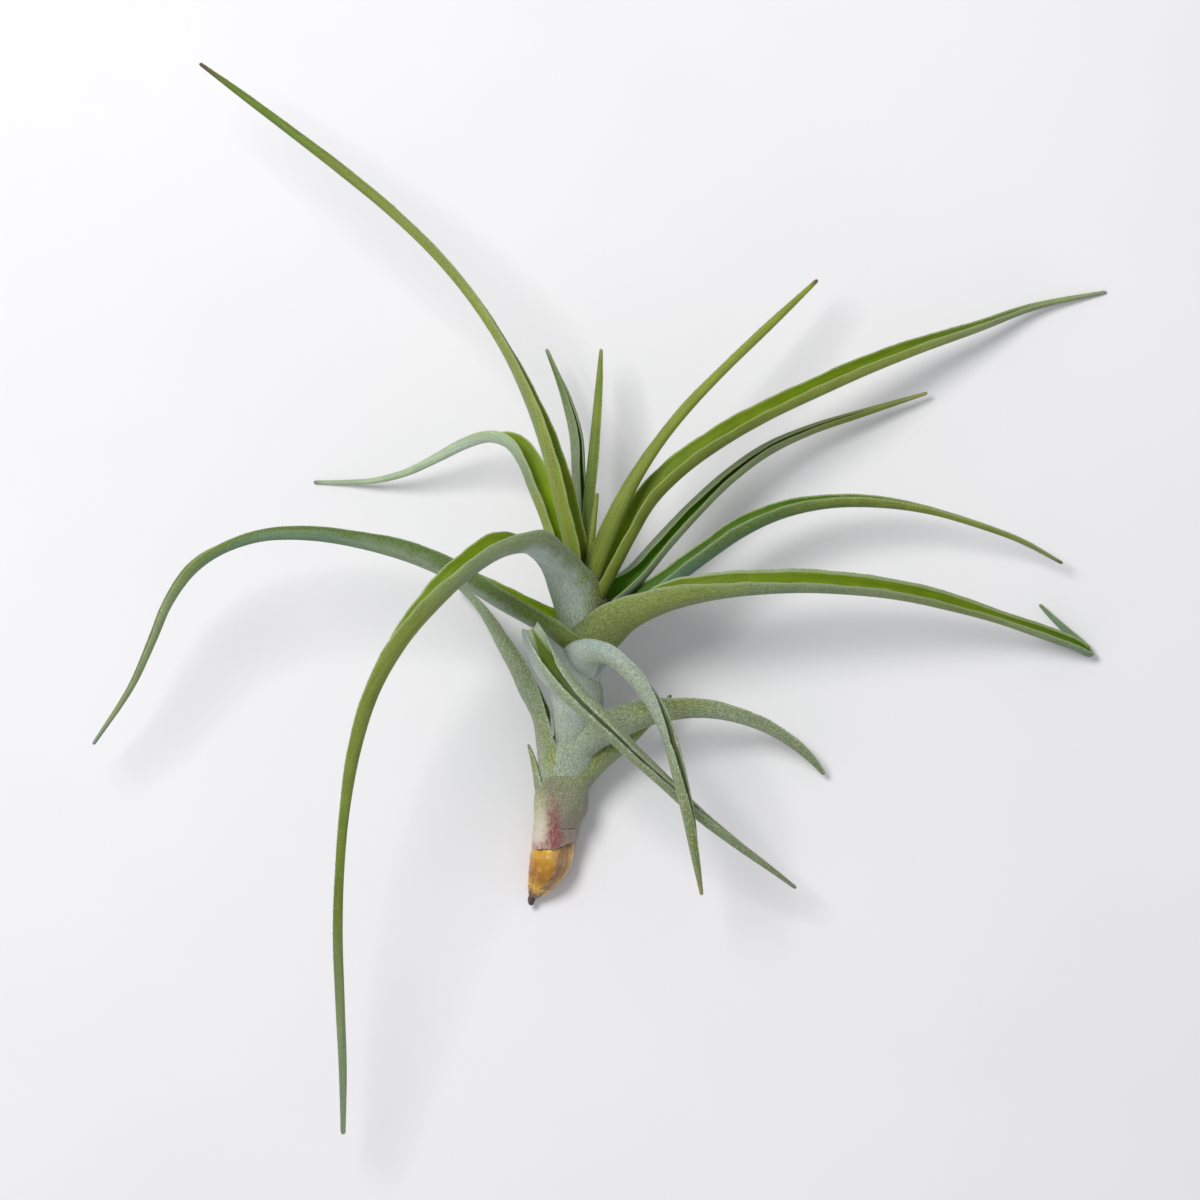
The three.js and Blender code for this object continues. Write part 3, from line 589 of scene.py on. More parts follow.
def leaf_frames(spec):
    """Shares, places, tangents, channel directions and sideways directions at a leaf's stations."""
    rows = np.array(spec["route"])[:, :3]
    tip_width = spec["route"][-1][3]
    speed = np.linalg.norm(catmull(rows, [1.0], True) - catmull(rows, [0.999], True)) / 0.001
    rounding = 1 - np.array(TIP_RINGS) * tip_width / speed
    u = np.linspace(0, 1, STATIONS_A_POINT * (len(rows) - 1) + 1)
    u = np.concatenate([u[u < rounding[0] - 1e-3], rounding, [1.0]])
    tangent = tangents(rows, u)
    facing = inward(spec["side"], tangent[0])
    facings = []
    for t in tangent:
        facing = unit(facing - t * (facing @ t))
        facings.append(facing)
    facings = np.array(facings)
    turn = np.radians(along(spec["turn"], u))[:, None]
    up = facings * np.cos(turn) + np.cross(tangent, facings) * np.sin(turn)
    return u, catmull(rows, u, True), tangent, up, np.cross(up, tangent)


# Leaf meshes

def half_width(spec, u, length):
    """Half the width at the shares u, rounded off over the last bit of the leaf."""
    width = catmull(np.array(spec["route"])[:, 3:], u, False)[:, 0]
    left = (length[-1] - length) / (TIP_RINGS[0] * width[-1])
    return width * np.sqrt(1 - TIP_POINT * np.clip(1 - left, 0, 1) ** 2)


def leaf_rings(spec, grow=0.0):
    """Rings of points down a leaf, each once round its C-shaped section, and what the materials read there.

    A ring runs over the back from one margin to the other, round that margin, and back through the channel.
    """
    rng = np.random.default_rng([SEED, len(spec["route"]), abs(spec["side"])])
    u, centre, tangent, up, sideways = leaf_frames(spec)
    length = np.concatenate([[0], np.cumsum(np.linalg.norm(np.diff(centre, axis=0), axis=1))])
    width = half_width(spec, u, length)
    curl = np.radians(along(spec["curl"], u))
    radius = width / np.sin(np.minimum(curl, math.pi / 2))
    depth = radius * (1 - np.cos(curl))
    skin = SKIN_SHARE * radius

    share = np.linspace(-1, 1, ARC_STEPS + 1)
    wall = MIDRIB_THICKNESS + (MARGIN_THICKNESS - MIDRIB_THICKNESS) * np.abs(share) ** THINNING_POWER
    wall = np.minimum(wall[None, :], WALL_SHARE * radius[:, None])
    ripple = margin_ripple(rng, length)
    bend = curl + grow / radius
    angle = bend[:, None] * share
    for margin, sign in enumerate((-1, 1)):
        angle = angle + sign * ripple[:, margin:margin + 1] * np.clip(sign * share, 0, 1) ** 3
    outer = np.broadcast_to((skin + grow)[:, None], angle.shape)
    inner = np.maximum(skin[:, None] - wall - grow, LEAST_INNER_SHARE * radius[:, None])
    rim = (outer + inner) / 2
    bulge = (outer - inner) / 2 / rim

    ring_angle = np.hstack([
        angle, angle[:, -1:] + bulge[:, -1:], angle[:, ::-1], angle[:, :1] - bulge[:, :1]])
    ring_radius = np.hstack([outer, rim[:, -1:], inner[:, ::-1], rim[:, :1]])
    x = ring_radius * np.sin(ring_angle)
    y = radius[:, None] - ring_radius * np.cos(ring_angle) - depth[:, None] / 2
    places = centre[:, None] + sideways[:, None] * x[..., None] + up[:, None] * y[..., None]
    if grow:
        places[0] -= tangent[0] * grow
    if "hem" in spec:
        to_right = np.clip((places[..., 0] - centre[:, None, 0]) / radius[:, None], -1, 1)
        askew = spec["hem"] * ((0.5 + 0.5 * to_right) ** HEM_POWER - HEM_DROP)
        askew += 0.12 * np.sin(7 * ring_angle) + 0.08 * np.sin(17 * ring_angle)
        fade = np.clip(1 - length / HEM_REACH, 0, 1)[:, None]
        places += tangent[0] * (askew * fade)[..., None]
    places[..., 2] = np.maximum(places[..., 2], 0.0)

    size = ring_angle.shape[1]
    ring_share = np.concatenate([share, [1], share[::-1], [-1]])
    face = np.concatenate([np.zeros(ARC_STEPS + 1), [0.5], np.ones(ARC_STEPS + 1), [0.5]])
    arc = ring_share[None] * (curl * radius)[:, None]
    edge = (1 - np.abs(ring_share))[None] * (curl * radius)[:, None]
    maps = {
        "place": np.stack([np.broadcast_to(u[:, None], arc.shape), np.broadcast_to(face, arc.shape)], -1),
        "grain": np.stack([arc, np.broadcast_to(length[:, None], arc.shape)], -1),
        "edge": np.stack([edge, np.broadcast_to(ring_share, arc.shape)], -1),
    }
    return places, {name: values.reshape(-1, 2) for name, values in maps.items()}, size


def margin_ripple(rng, length):
    """How far the two margins stray from their line, as angles down the leaf: a few slow waves each."""
    ripple = np.zeros((len(length), 2))
    for wavelength, angle in MARGIN_WAVES:
        phase = rng.uniform(0, 2 * math.pi, 2)
        ripple += math.radians(angle) * np.sin(2 * math.pi * length[:, None] / wavelength + phase)
    return ripple


def tube_faces(rings, size):
    """The faces between rings of size points each."""
    faces = []
    for ring in range(rings - 1):
        for k in range(size):
            a = ring * size + k
            b = ring * size + (k + 1) % size
            faces.append((a, b, b + size, a + size))
    return faces


def leaf_mesh(spec, grow=0.0):
    """A leaf's closed mesh, grown on all sides by as much as asked."""
    places, maps, size = leaf_rings(spec, grow)
    faces = tube_faces(len(places), size)
    last = (len(places) - 1) * size
    turn_back = 2 * ARC_STEPS + 2
    caps = [(k, k + 1, turn_back - k - 1, turn_back - k) for k in range(ARC_STEPS)]
    caps += [(ARC_STEPS, ARC_STEPS + 1, ARC_STEPS + 2), (turn_back, turn_back + 1, 0)]
    for cap in caps:
        faces.append(tuple(reversed(cap)))
        faces.append(tuple(last + k for k in cap))
    return make_mesh(spec["name"], places.reshape(-1, 3), faces, maps)


def make_mesh(name, places, faces, maps):
    """A mesh in metres from points in millimetres, with its maps, and its faces pointing out."""
    corners = np.array([face[:3] for face in faces])
    a, b, c = (places[corners[:, k]] for k in range(3))
    d = places[np.array([face[-1] for face in faces])]
    volume = np.einsum("ij,ij->", a, np.cross(b, c)) + np.einsum("ij,ij->", a, np.cross(c, d))
    if volume < 0:
        faces = [tuple(reversed(face)) for face in faces]
    mesh = bpy.data.meshes.new(name)
    mesh.from_pydata((places * MM).tolist(), [], faces)
    loops = np.zeros(len(mesh.loops), np.int32)
    mesh.loops.foreach_get("vertex_index", loops)
    for title, values in maps.items():
        layer = mesh.uv_layers.new(name=title)
        layer.data.foreach_set("uv", values[loops].astype(np.float32).ravel())
    return mesh


def add_piece(name, mesh, material, smooth_angle=50):
    mesh.name = name
    mesh.materials.clear()
    mesh.materials.append(material)
    mesh.shade_smooth()
    mesh.set_sharp_from_angle(angle=math.radians(smooth_angle))
    piece = bpy.data.objects.new(name, mesh)
    bpy.context.scene.collection.objects.link(piece)
    return piece


def boxes_meet(a, b):
    """Whether two boxes overlap, each given as its low and high corner."""
    (a_low, a_high), (b_low, b_high) = a, b
    return bool(np.all(a_low < b_high) and np.all(b_low < a_high))


def mesh_box(mesh):
    places = np.zeros(len(mesh.vertices) * 3, np.float32)
    mesh.vertices.foreach_get("co", places)
    places = places.reshape(-1, 3)
    return places.min(0), places.max(0)


def cut(mesh, tools):
    """The mesh without the space that the tool meshes take, and without the scraps that leaves."""
    scene = bpy.context.scene
    body = bpy.data.objects.new("cut_body", mesh)
    scene.collection.objects.link(body)
    helpers = []
    for tool in tools:
        helper = bpy.data.objects.new("cut_tool", tool)
        scene.collection.objects.link(helper)
        helpers.append(helper)
        modifier = body.modifiers.new("cut", "BOOLEAN")
        modifier.operation = "DIFFERENCE"
        modifier.solver = "MANIFOLD"
        modifier.object = helper
    graph = bpy.context.evaluated_depsgraph_get()
    made = bpy.data.meshes.new_from_object(
        body.evaluated_get(graph), preserve_all_data_layers=True, depsgraph=graph)
    for helper in [body, *helpers]:
        bpy.data.objects.remove(helper)
    keep_largest(made)
    return made


def keep_largest(mesh):
    """Leave only the mesh's island with the most area."""
    work = bmesh.new()
    work.from_mesh(mesh)
    work.faces.ensure_lookup_table()
    seen = set()
    islands = []
    for start in work.faces:
        if start.index in seen:
            continue
        island, queue = [], [start]
        seen.add(start.index)
        while queue:
            face = queue.pop()
            island.append(face)
            for edge in face.edges:
                for other in edge.link_faces:
                    if other.index not in seen:
                        seen.add(other.index)
                        queue.append(other)
        islands.append((sum(face.calc_area() for face in island), island))
    islands.sort(key=lambda item: item[0])
    scraps = [face for _, island in islands[:-1] for face in island]
    bmesh.ops.delete(work, geom=scraps, context="FACES")
    work.to_mesh(mesh)
    work.free()


# Materials

def linear(colour):
    """A daylight colour as the shader's linear red, green, blue and alpha."""
    shares = [part / 255 for part in colour]
    return [s / 12.92 if s <= 0.04045 else ((s + 0.055) / 1.055) ** 2.4 for s in shares] + [1.0]


def new_material(name):
    material = bpy.data.materials.new(name)
    material.use_nodes = True
    material.node_tree.nodes.clear()
    return material


def add(tree, kind, values=None, **settings):
    """A new node. values gives its inputs, by name or number: a value or another node's output."""
    made = tree.nodes.new(kind)
    for key, value in settings.items():
        setattr(made, key, value)
    for key, value in (values or {}).items():
        if isinstance(value, bpy.types.NodeSocket):
            tree.links.new(value, made.inputs[key])
        else:
            made.inputs[key].default_value = value
    return made


def maths(tree, operation, *values, clamp=False):
    made = add(tree, "ShaderNodeMath", dict(enumerate(values)), operation=operation, use_clamp=clamp)
    return made.outputs[0]


def times(tree, first, second, clamp=False):
    return maths(tree, "MULTIPLY", first, second, clamp=clamp)


def remap(tree, value, low, high, new_low=0.0, new_high=1.0):
    """A value eased from between low and high to between the new ones, and held there beyond."""
    values = {"Value": value, "From Min": low, "From Max": high, "To Min": new_low, "To Max": new_high}
    return add(tree, "ShaderNodeMapRange", values, interpolation_type="SMOOTHSTEP").outputs["Result"]


def mix(tree, share, first, second, blend="MIX"):
    made = add(tree, "ShaderNodeMix", {0: share, 6: first, 7: second}, data_type="RGBA", blend_type=blend)
    return made.outputs[2]


def ramp(tree, place, colours):
    """The colour at a place from 0 to 1 down an even list of colours."""
    made = add(tree, "ShaderNodeValToRGB", {"Fac": place})
    stops = made.color_ramp.elements
    stops[0].color = colours[0]
    stops[1].color = colours[-1]
    for k, colour in enumerate(colours[1:-1], 1):
        stops.new(k / (len(colours) - 1)).color = colour
    return made.outputs["Color"]


def colours_along(tree, way, colours):
    return ramp(tree, way, [linear(colour) for colour in colours])


def numbers_along(tree, way, numbers, most):
    """A number that an even list gives down the way. None of them is over most."""
    shares = ramp(tree, way, [[number / most] * 3 + [1.0] for number in numbers])
    return times(tree, shares, most)


def map_parts(tree, name):
    """The two numbers of one of a mesh's maps."""
    uv = add(tree, "ShaderNodeUVMap", uv_map=name).outputs["UV"]
    parts = add(tree, "ShaderNodeSeparateXYZ", {"Vector": uv})
    return parts.outputs["X"], parts.outputs["Y"]


def in_millimetres(tree):
    place = add(tree, "ShaderNodeTexCoord").outputs["Object"]
    scaled = add(tree, "ShaderNodeVectorMath", {0: place, "Scale": 1 / MM}, operation="SCALE")
    return scaled.outputs["Vector"]


def noise(tree, place, scale, detail=2.0, stretch=None):
    if stretch:
        stretched = add(tree, "ShaderNodeVectorMath", {0: place, 1: stretch}, operation="MULTIPLY")
        place = stretched.outputs["Vector"]
    values = {"Vector": place, "Scale": scale, "Detail": detail}
    return add(tree, "ShaderNodeTexNoise", values).outputs["Fac"]


def spots(tree, place, size, low, high):
    """Small round spots about size apart, 1 in their middle."""
    cells = add(tree, "ShaderNodeTexVoronoi", {"Vector": place, "Scale": 1 / size, "Randomness": 1.0})
    pick = add(tree, "ShaderNodeSeparateColor", {"Color": cells.outputs["Color"]}).outputs["Red"]
    near = remap(tree, cells.outputs["Distance"], low, high, 1.0, 0.0)
    return times(tree, near, remap(tree, pick, 0.25, 0.7))


def oval(tree, place, centre, reach, ragged):
    """1 inside an upright oval column round a point seen from above, fading to 0 past its reach."""
    parts = add(tree, "ShaderNodeSeparateXYZ", {"Vector": place})
    offsets = []
    for part, middle, half in zip(("X", "Y"), centre, reach):
        away = maths(tree, "DIVIDE", maths(tree, "SUBTRACT", parts.outputs[part], middle), half)
        offsets.append(maths(tree, "POWER", maths(tree, "ABSOLUTE", away), 2.0))
    far = maths(tree, "SQRT", maths(tree, "ADD", *offsets))
    rough = times(tree, maths(tree, "SUBTRACT", noise(tree, place, 1.1, 3.0), 0.5), ragged)
    return remap(tree, maths(tree, "ADD", far, rough), 0.3, 1.2, 1.0, 0.0)


def bumped(tree, *layers):
    """A normal from height layers, each a height and how tall it stands in millimetres."""
    normal = None
    for height, tall in layers:
        values = {"Height": height, "Distance": tall * MM, "Strength": 1.0}
        if normal:
            values["Normal"] = normal
        normal = add(tree, "ShaderNodeBump", values).outputs["Normal"]
    return normal


def finish_surface(tree, **values):
    inputs = {key.replace("_", " "): value for key, value in values.items()}
    shader = add(tree, "ShaderNodeBsdfPrincipled", inputs)
    add(tree, "ShaderNodeOutputMaterial", {"Surface": shader.outputs["BSDF"]})


def leaf_material(spec):
    """A leaf's two faces, its pale margins, its lengthwise grain and the felt of scales that silvers it."""
    material = new_material(spec["name"])
    tree = material.node_tree
    way, face = map_parts(tree, "place")
    arc, length = map_parts(tree, "grain")
    edge, across = map_parts(tree, "edge")
    place = in_millimetres(tree)

    midrib, wing, channel = (colours_along(tree, way, spec[part]) for part in ("midrib", "wing", "channel"))
    patches = noise(tree, place, 0.22, 3.0)
    side = maths(tree, "ADD", maths(tree, "ABSOLUTE", across), remap(tree, patches, 0.3, 0.7, -0.15, 0.15))
    for part, low, high in (("left_wing", 0.0, 0.1), ("right_wing", 0.0, -0.1)):
        if part in spec:
            wing = mix(tree, remap(tree, across, low, high), wing, colours_along(tree, way, spec[part]))
    inside = remap(tree, face, 0.35, 0.65)
    colour = mix(tree, inside, mix(tree, remap(tree, side, 0.15, 0.8), midrib, wing), channel)
    if "tip" in spec:
        tip_colour, tip_start = spec["tip"]
        colour = mix(tree, remap(tree, way, tip_start, 1.0), colour, linear(tip_colour))

    grain_place = add(tree, "ShaderNodeCombineXYZ", {"X": arc, "Y": times(tree, length, 0.03)})
    grain = noise(tree, grain_place.outputs["Vector"], 2.6, 3.0)
    streaked = remap(tree, grain, 0.3, 0.7, 0.86, 1.1)
    shade = times(tree, streaked, remap(tree, patches, 0.3, 0.7, 0.92, 1.08))
    grey = add(tree, "ShaderNodeCombineColor", {"Red": shade, "Green": shade, "Blue": shade})
    colour = mix(tree, 1.0, colour, grey.outputs["Color"], "MULTIPLY")

    dust = numbers_along(tree, way, spec["dust"], 1.0)
    lip_reach = numbers_along(tree, way, spec.get("lip", THIN_LIP), LIP_MOST)
    lip_start = times(tree, lip_reach, 0.4)
    lip = times(tree, inside, remap(tree, edge, lip_start, lip_reach, 1.0, 0.0))
    outside = maths(tree, "MAXIMUM", remap(tree, inside, 0.0, 1.0, 1.0, 0.1), lip)
    dust = times(tree, dust, outside)
    strand_place = add(tree, "ShaderNodeCombineXYZ", {"X": arc, "Y": times(tree, length, 0.35)})
    felt = remap(tree, noise(tree, strand_place.outputs["Vector"], 3.6, 3.0), 0.4, 0.62)
    dots = spots(tree, place, 0.24, 0.1, 0.5)
    wool = maths(tree, "POWER", dust, 1.6)
    cover = maths(tree, "ADD", times(tree, felt, 0.34), times(tree, dots, 0.2))
    colour = mix(tree, times(tree, cover, wool, clamp=True), colour, linear(SCALE_WHITE))
    hollows = times(tree, remap(tree, felt, 0.0, 0.35, 0.3, 0.0), wool)
    colour = mix(tree, hollows, colour, linear(DARK_GREEN))

    reach = maths(tree, "ADD", 0.34, times(tree, wool, 1.1))
    strength = maths(tree, "ADD", 0.42, times(tree, wool, 0.3))
    margin = times(tree, strength, remap(tree, edge, 0.06, reach, 1.0, 0.0))
    pale = mix(tree, wool, linear(MARGIN_GREEN), linear(BLUE_SILVER))
    colour = mix(tree, maths(tree, "MAXIMUM", margin, lip), colour, pale)
    if spec["name"] == LEAVES[0]["name"]:
        colour = foot_colours(tree, place, colour)

    roughness = maths(tree, "ADD", 0.44, times(tree, wool, 0.25))
    silver = spec["slot"] == "leaf_silver"
    finish_surface(
        tree, Base_Color=colour, Roughness=roughness, Specular_IOR_Level=0.2, Subsurface_Weight=0.12,
        Subsurface_Radius=(0.5, 0.8, 0.15), Subsurface_Scale=MM, Sheen_Weight=0.14 if silver else 0.03,
        Sheen_Roughness=0.45, Sheen_Tint=linear(SCALE_WHITE),
        Normal=bumped(tree, (grain, 0.03), (felt, 0.07 if silver else 0.03)))
    return material


def foot_colours(tree, place, colour):
    """The lowest sheath's husk, pale down its left and greyer towards its right as painted light and
    shade over its own tone, with rosy flushes, dark speckle and a crease.
    """
    streaks = noise(tree, place, 2.4, 3.0, stretch=(1.0, 0.22, 1.0))
    # Painted light on the husk's left and painted shade towards its right, over its own pale and grey.
    from_left = add(tree, "ShaderNodeSeparateXYZ", {"Vector": place}).outputs["X"]
    husk = mix(tree, remap(tree, from_left, *HUSK_LIT_TO_SHADED_X), linear(HUSK_PALE_LIT), linear(HUSK_GREY_SHADED))
    colour = mix(tree, times(tree, oval(tree, place, *HUSK, 0.9), 0.75), colour, husk)
    for centre, reach, strength in FLUSHES:
        streaked = remap(tree, streaks, 0.3, 0.62, 0.45, 1.0)
        flush = times(tree, oval(tree, place, centre, reach, 1.1), streaked)
        colour = mix(tree, times(tree, flush, strength), colour, linear(ROSE))
    for centre, reach, size in BRUISES:
        specks = spots(tree, place, size, 0.1, 0.6)
        speckle = times(tree, specks, oval(tree, place, centre, reach, 0.8))
        colour = mix(tree, times(tree, speckle, 0.95), colour, linear(PLUM))
    crease = oval(tree, place, *CREASE, 0.25)
    return mix(tree, times(tree, crease, 0.8), colour, linear(STUB_BROWN))


def scale_material():
    """The pale shield scales: each its own shade, from white to the tint of what is below."""
    material = new_material("leaf_scales")
    tree = material.node_tree
    grain = noise(tree, in_millimetres(tree), 9.0, 2.0)
    colour = add(tree, "ShaderNodeVertexColor", layer_name="tint").outputs["Color"]
    colour = mix(tree, remap(tree, grain, 0.3, 0.7, 0.0, 0.25), colour, linear(SAGE))
    finish_surface(tree, Base_Color=colour, Roughness=0.62, Specular_IOR_Level=0.3, Sheen_Weight=0.2)
    return material


def stem_material():
    material = new_material("stem_core")
    tree = material.node_tree
    place = in_millimetres(tree)
    patches = noise(tree, place, 0.5, 4.0)
    felt = spots(tree, place, 0.45, 0.1, 0.5)
    colour = mix(tree, remap(tree, patches, 0.35, 0.65), linear(SAGE), linear(SILVER))
    colour = mix(tree, times(tree, felt, 0.5), colour, linear(SCALE_WHITE))
    colour = foot_colours(tree, place, colour)
    finish_surface(
        tree, Base_Color=colour, Roughness=0.6, Specular_IOR_Level=0.3, Sheen_Weight=0.25,
        Subsurface_Weight=0.1, Subsurface_Scale=MM, Normal=bumped(tree, (felt, 0.04), (patches, 0.05)))
    return material


def base_material():
    """The dry base: glossy amber skin, darker brown in its creases as painted shade, and brown on its right
    where it is thin.
    """
    material = new_material("dry_base")
    tree = material.node_tree
    way, lobe = map_parts(tree, "place")
    place = in_millimetres(tree)
    fibres = noise(tree, place, 1.8, 4.0, stretch=(1.0, 0.25, 1.0))
    blotches = noise(tree, place, 0.7, 3.0)
    # Bands from the stub to the collar: the base's own ambers and browns, with its two pale bands partly
    # painted highlight on the lumps and on the top.
    amber_bands_with_highlights = (STUB_BROWN, AMBER_BROWN, AMBER_PALE, AMBER_DEEP, AMBER, AMBER_PALE, AMBER_BROWN, AMBER_BROWN)
    colour = ramp(tree, way, [linear(shade) for shade in amber_bands_with_highlights])
    colour = mix(tree, remap(tree, blotches, 0.5, 0.75, 0.0, 0.5), colour, linear(AMBER_PALE))
    colour = mix(tree, remap(tree, fibres, 0.45, 0.75, 0.0, 0.35), colour, linear(AMBER_DEEP))
    colour = mix(tree, times(tree, oval(tree, place, *MEMBRANE, 0.9), 0.9), colour, linear(DRY_BROWN))
    # Painted shade: darker brown where the skin sinks into its creases.
    colour = mix(tree, remap(tree, lobe, 0.5, 0.15, 0.0, 0.6), colour, linear(AMBER_BROWN))
    pits = times(tree, spots(tree, place, 0.9, 0.1, 0.45), remap(tree, way, 0.45, 0.25))
    colour = mix(tree, times(tree, pits, 0.7), colour, linear(STUB_BROWN))
    finish_surface(
        tree, Base_Color=colour, Roughness=0.26, Specular_IOR_Level=0.5, Subsurface_Weight=0.2,
        Subsurface_Radius=(1.0, 0.5, 0.1), Subsurface_Scale=MM, Coat_Weight=0.7, Coat_Roughness=0.14,
        Normal=bumped(tree, (fibres, 0.08), (blotches, 0.5)))
    return material


def paper_material():
    """A shred of the oldest sheath: greyish, thin enough for what is below to show through it."""
    material = new_material("paper_shred")
    tree = material.node_tree
    place = in_millimetres(tree)
    fibres = noise(tree, place, 2.2, 4.0, stretch=(1.0, 0.2, 1.0))
    blotches = noise(tree, place, 0.6, 2.0)
    colour = mix(tree, remap(tree, blotches, 0.35, 0.65), linear(PAPER), linear(DRY_BROWN))
    colour = mix(tree, remap(tree, fibres, 0.45, 0.75, 0.0, 0.5), colour, linear(AMBER_BROWN))
    finish_surface(
        tree, Base_Color=colour, Roughness=0.38, Alpha=0.42, Coat_Weight=0.4, Coat_Roughness=0.25,
        Normal=bumped(tree, (fibres, 0.06)))
    return material


def stub_material():
    material = new_material("runner_stub")
    tree = material.node_tree
    place = in_millimetres(tree)
    blotches = noise(tree, place, 1.4, 5.0)
    colour = mix(tree, remap(tree, blotches, 0.4, 0.65), linear(STUB_BROWN), linear(STUB_GREY))
    finish_surface(tree, Base_Color=colour, Roughness=0.8, Normal=bumped(tree, (blotches, 0.2)))
    return material


# Stem, dry base and stub

SHRED_STEPS = 24
SHRED_THICKNESS = 0.08
# Loose papery shreds on the dry base: the two shares of its way and the two angles from its top, in
# radians, that each lies between, how far it stands off, and how torn its end is.
SHREDS = (
    (0.34, 0.93, 0.3, 1.0, 0.2, 0.06),
    (0.5, 0.93, 1.7, 2.6, 0.16, 0.05),
)


def rod_frames(rows, u):
    """Places and two directions across a rod at the shares u, with the first direction kept upwards."""
    route = np.array(rows)[:, :3]
    tangent = tangents(route, u)
    up = unit(np.array([0.0, 0.0, 1.0]) - tangent * tangent[:, 2:])
    return catmull(route, u, True), up, np.cross(tangent, up)


def rod_mesh(name, rows, stations, radius_share):
    """A closed rod. radius_share gives the skin's share of its radius, by way and angle from the top."""
    u = np.linspace(0, 1, stations + 1)
    centre, up, right = rod_frames(rows, u)
    radius = catmull(np.array(rows)[:, 3:], u, False)[:, 0]
    angle = np.linspace(0, 2 * math.pi, STEM_SIDES, endpoint=False)
    share = radius_share(u[:, None], angle[None])
    out = radius[:, None] * share
    places = (
        centre[:, None] + up[:, None] * (out * np.cos(angle))[..., None]
        + right[:, None] * (out * np.sin(angle))[..., None])
    places[..., 2] = np.maximum(places[..., 2], 0.0)
    faces = tube_faces(stations + 1, STEM_SIDES)
    ends = [tuple(reversed(range(STEM_SIDES))), tuple(stations * STEM_SIDES + k for k in range(STEM_SIDES))]
    spread = (share - share.min()) / max(share.max() - share.min(), 1e-6)
    maps = {"place": np.stack([np.broadcast_to(u[:, None], share.shape), spread], -1).reshape(-1, 2)}
    return make_mesh(name, places.reshape(-1, 3), faces + ends, maps)


def shred_mesh(name, start, end, left, right, lift, ragged):
    """A thin torn sheet over the dry base, between two shares of its way and two angles from its top."""
    rng = np.random.default_rng([SEED, int(100 * start), int(100 * left + 400)])
    rows = [*DRY_BASE, COLLAR]
    across = np.linspace(0, 1, SHRED_STEPS + 1)
    jag = ragged * np.cumsum(rng.uniform(-1, 1, SHRED_STEPS + 1)) / 3
    layers = []
    for out in (lift, lift - SHRED_THICKNESS):
        rings = []
        for share in np.linspace(0, 1, SHRED_STEPS + 1):
            u = np.clip(start + (end - start) * share + jag * (1 - share), 0, 1)
            centre, up, side = rod_frames(rows, u)
            angle = left + (right - left) * across * (0.86 + 0.14 * math.sin(5 * share + 1))
            radius = catmull(np.array(rows)[:, 3:], u, False)[:, 0] * base_skin(u, angle)
            radius = radius + out + 0.16 * across * math.sin(7 * share)
            rings.append(
                centre + up * (radius * np.cos(angle))[:, None] + side * (radius * np.sin(angle))[:, None])
        layers.append(np.array(rings))
    places = np.concatenate([layer.reshape(-1, 3) for layer in layers])
    places[:, 2] = np.maximum(places[:, 2], 0.02)
    size = SHRED_STEPS + 1
    lower = size * size
    faces = []
    for row in range(SHRED_STEPS):
        for k in range(SHRED_STEPS):
            a = row * size + k
            faces.append((a, a + 1, a + size + 1, a + size))
            faces.append((lower + a, lower + a + size, lower + a + size + 1, lower + a + 1))
    rim = [*range(size), *range(2 * size - 1, lower, size), *range(lower - 2, lower - size - 1, -1),
           *range(lower - 2 * size, 0, -size)]
    for a, b in zip(rim, rim[1:] + rim[:1]):
        faces.append((b, a, lower + a, lower + b))
    return make_mesh(name, places, faces, {})


def stem_skin(u, angle):
    return 0.93 + 0.015 * np.sin(5 * angle + 9 * u) + 0.01 * np.sin(11 * angle + 31 * u)


def base_skin(u, angle):
    """Puckered lobes that gather towards the stub, and a narrower collar inside the sheath."""
    pucker = np.clip(1 - u, 0, 1) ** 0.7
    lobes = np.abs(np.sin(2.5 * angle + 1.0 + 0.9 * u))
    creases = 0.2 * pucker * (1 - lobes) ** 2
    wrinkles = 0.022 * np.sin(9 * angle + 14 * u) + 0.014 * np.sin(17 * angle - 31 * u)
    tuck = COLLAR_TUCK * np.clip((u - 0.62) / 0.12, 0, 1)
    return 0.995 - creases + wrinkles * pucker - tuck


def stub_skin(u, angle):
    return 0.9 + 0.1 * np.sin(3 * angle + 7 * u) * np.sin(2 * angle + 4)


# Scales

SCALES_A_SQUARE_MM = 11.0
# How likely one is along a margin at least, how near to the margin that is, and how likely in the channel.
MARGIN_SCALES_SHARE = 0.45
MARGIN_REACH = 0.35
CHANNEL_SCALES_SHARE = 0.04
# The leaf's outer face has map values below this.
OUTER_FACE = 0.4
SCALE_SIDES = 4
# How many times as long as wide a scale is, and how much it grows and lifts along a margin.
SCALE_LENGTH = 1.8
MARGIN_GROWTH = 1.5
MARGIN_LIFT = 2.0
# The lowest that a scale grows, and the free way that it needs straight out from the leaf, from and to.
LOWEST_SCALE = 0.15
FREE_WAY = (0.05, 0.7)
# How far a scale stands off at its middle and at its inner end, how much more its outer end lifts, least
# and most, and how far it swings from the leaf's direction, in radians.
MIDDLE_RISE = 0.03
END_RISE = 0.012
SCALE_LIFT = (0.015, 0.06)
SCALE_SWING = 0.7
# No scale is nearer than this to the surface below, or to the other sides of the solids' box.
LEAST_RISE = 0.01
# How wide half a scale is, least and most, and how much of its colour is its own white, the rest being
# the leaf's that shows through it.
SCALE_LOOKS = {
    "leaf_silver": ((0.04, 0.09), (0.3, 0.9)),
    "leaf_green": ((0.035, 0.07), (0.1, 0.45)),
}


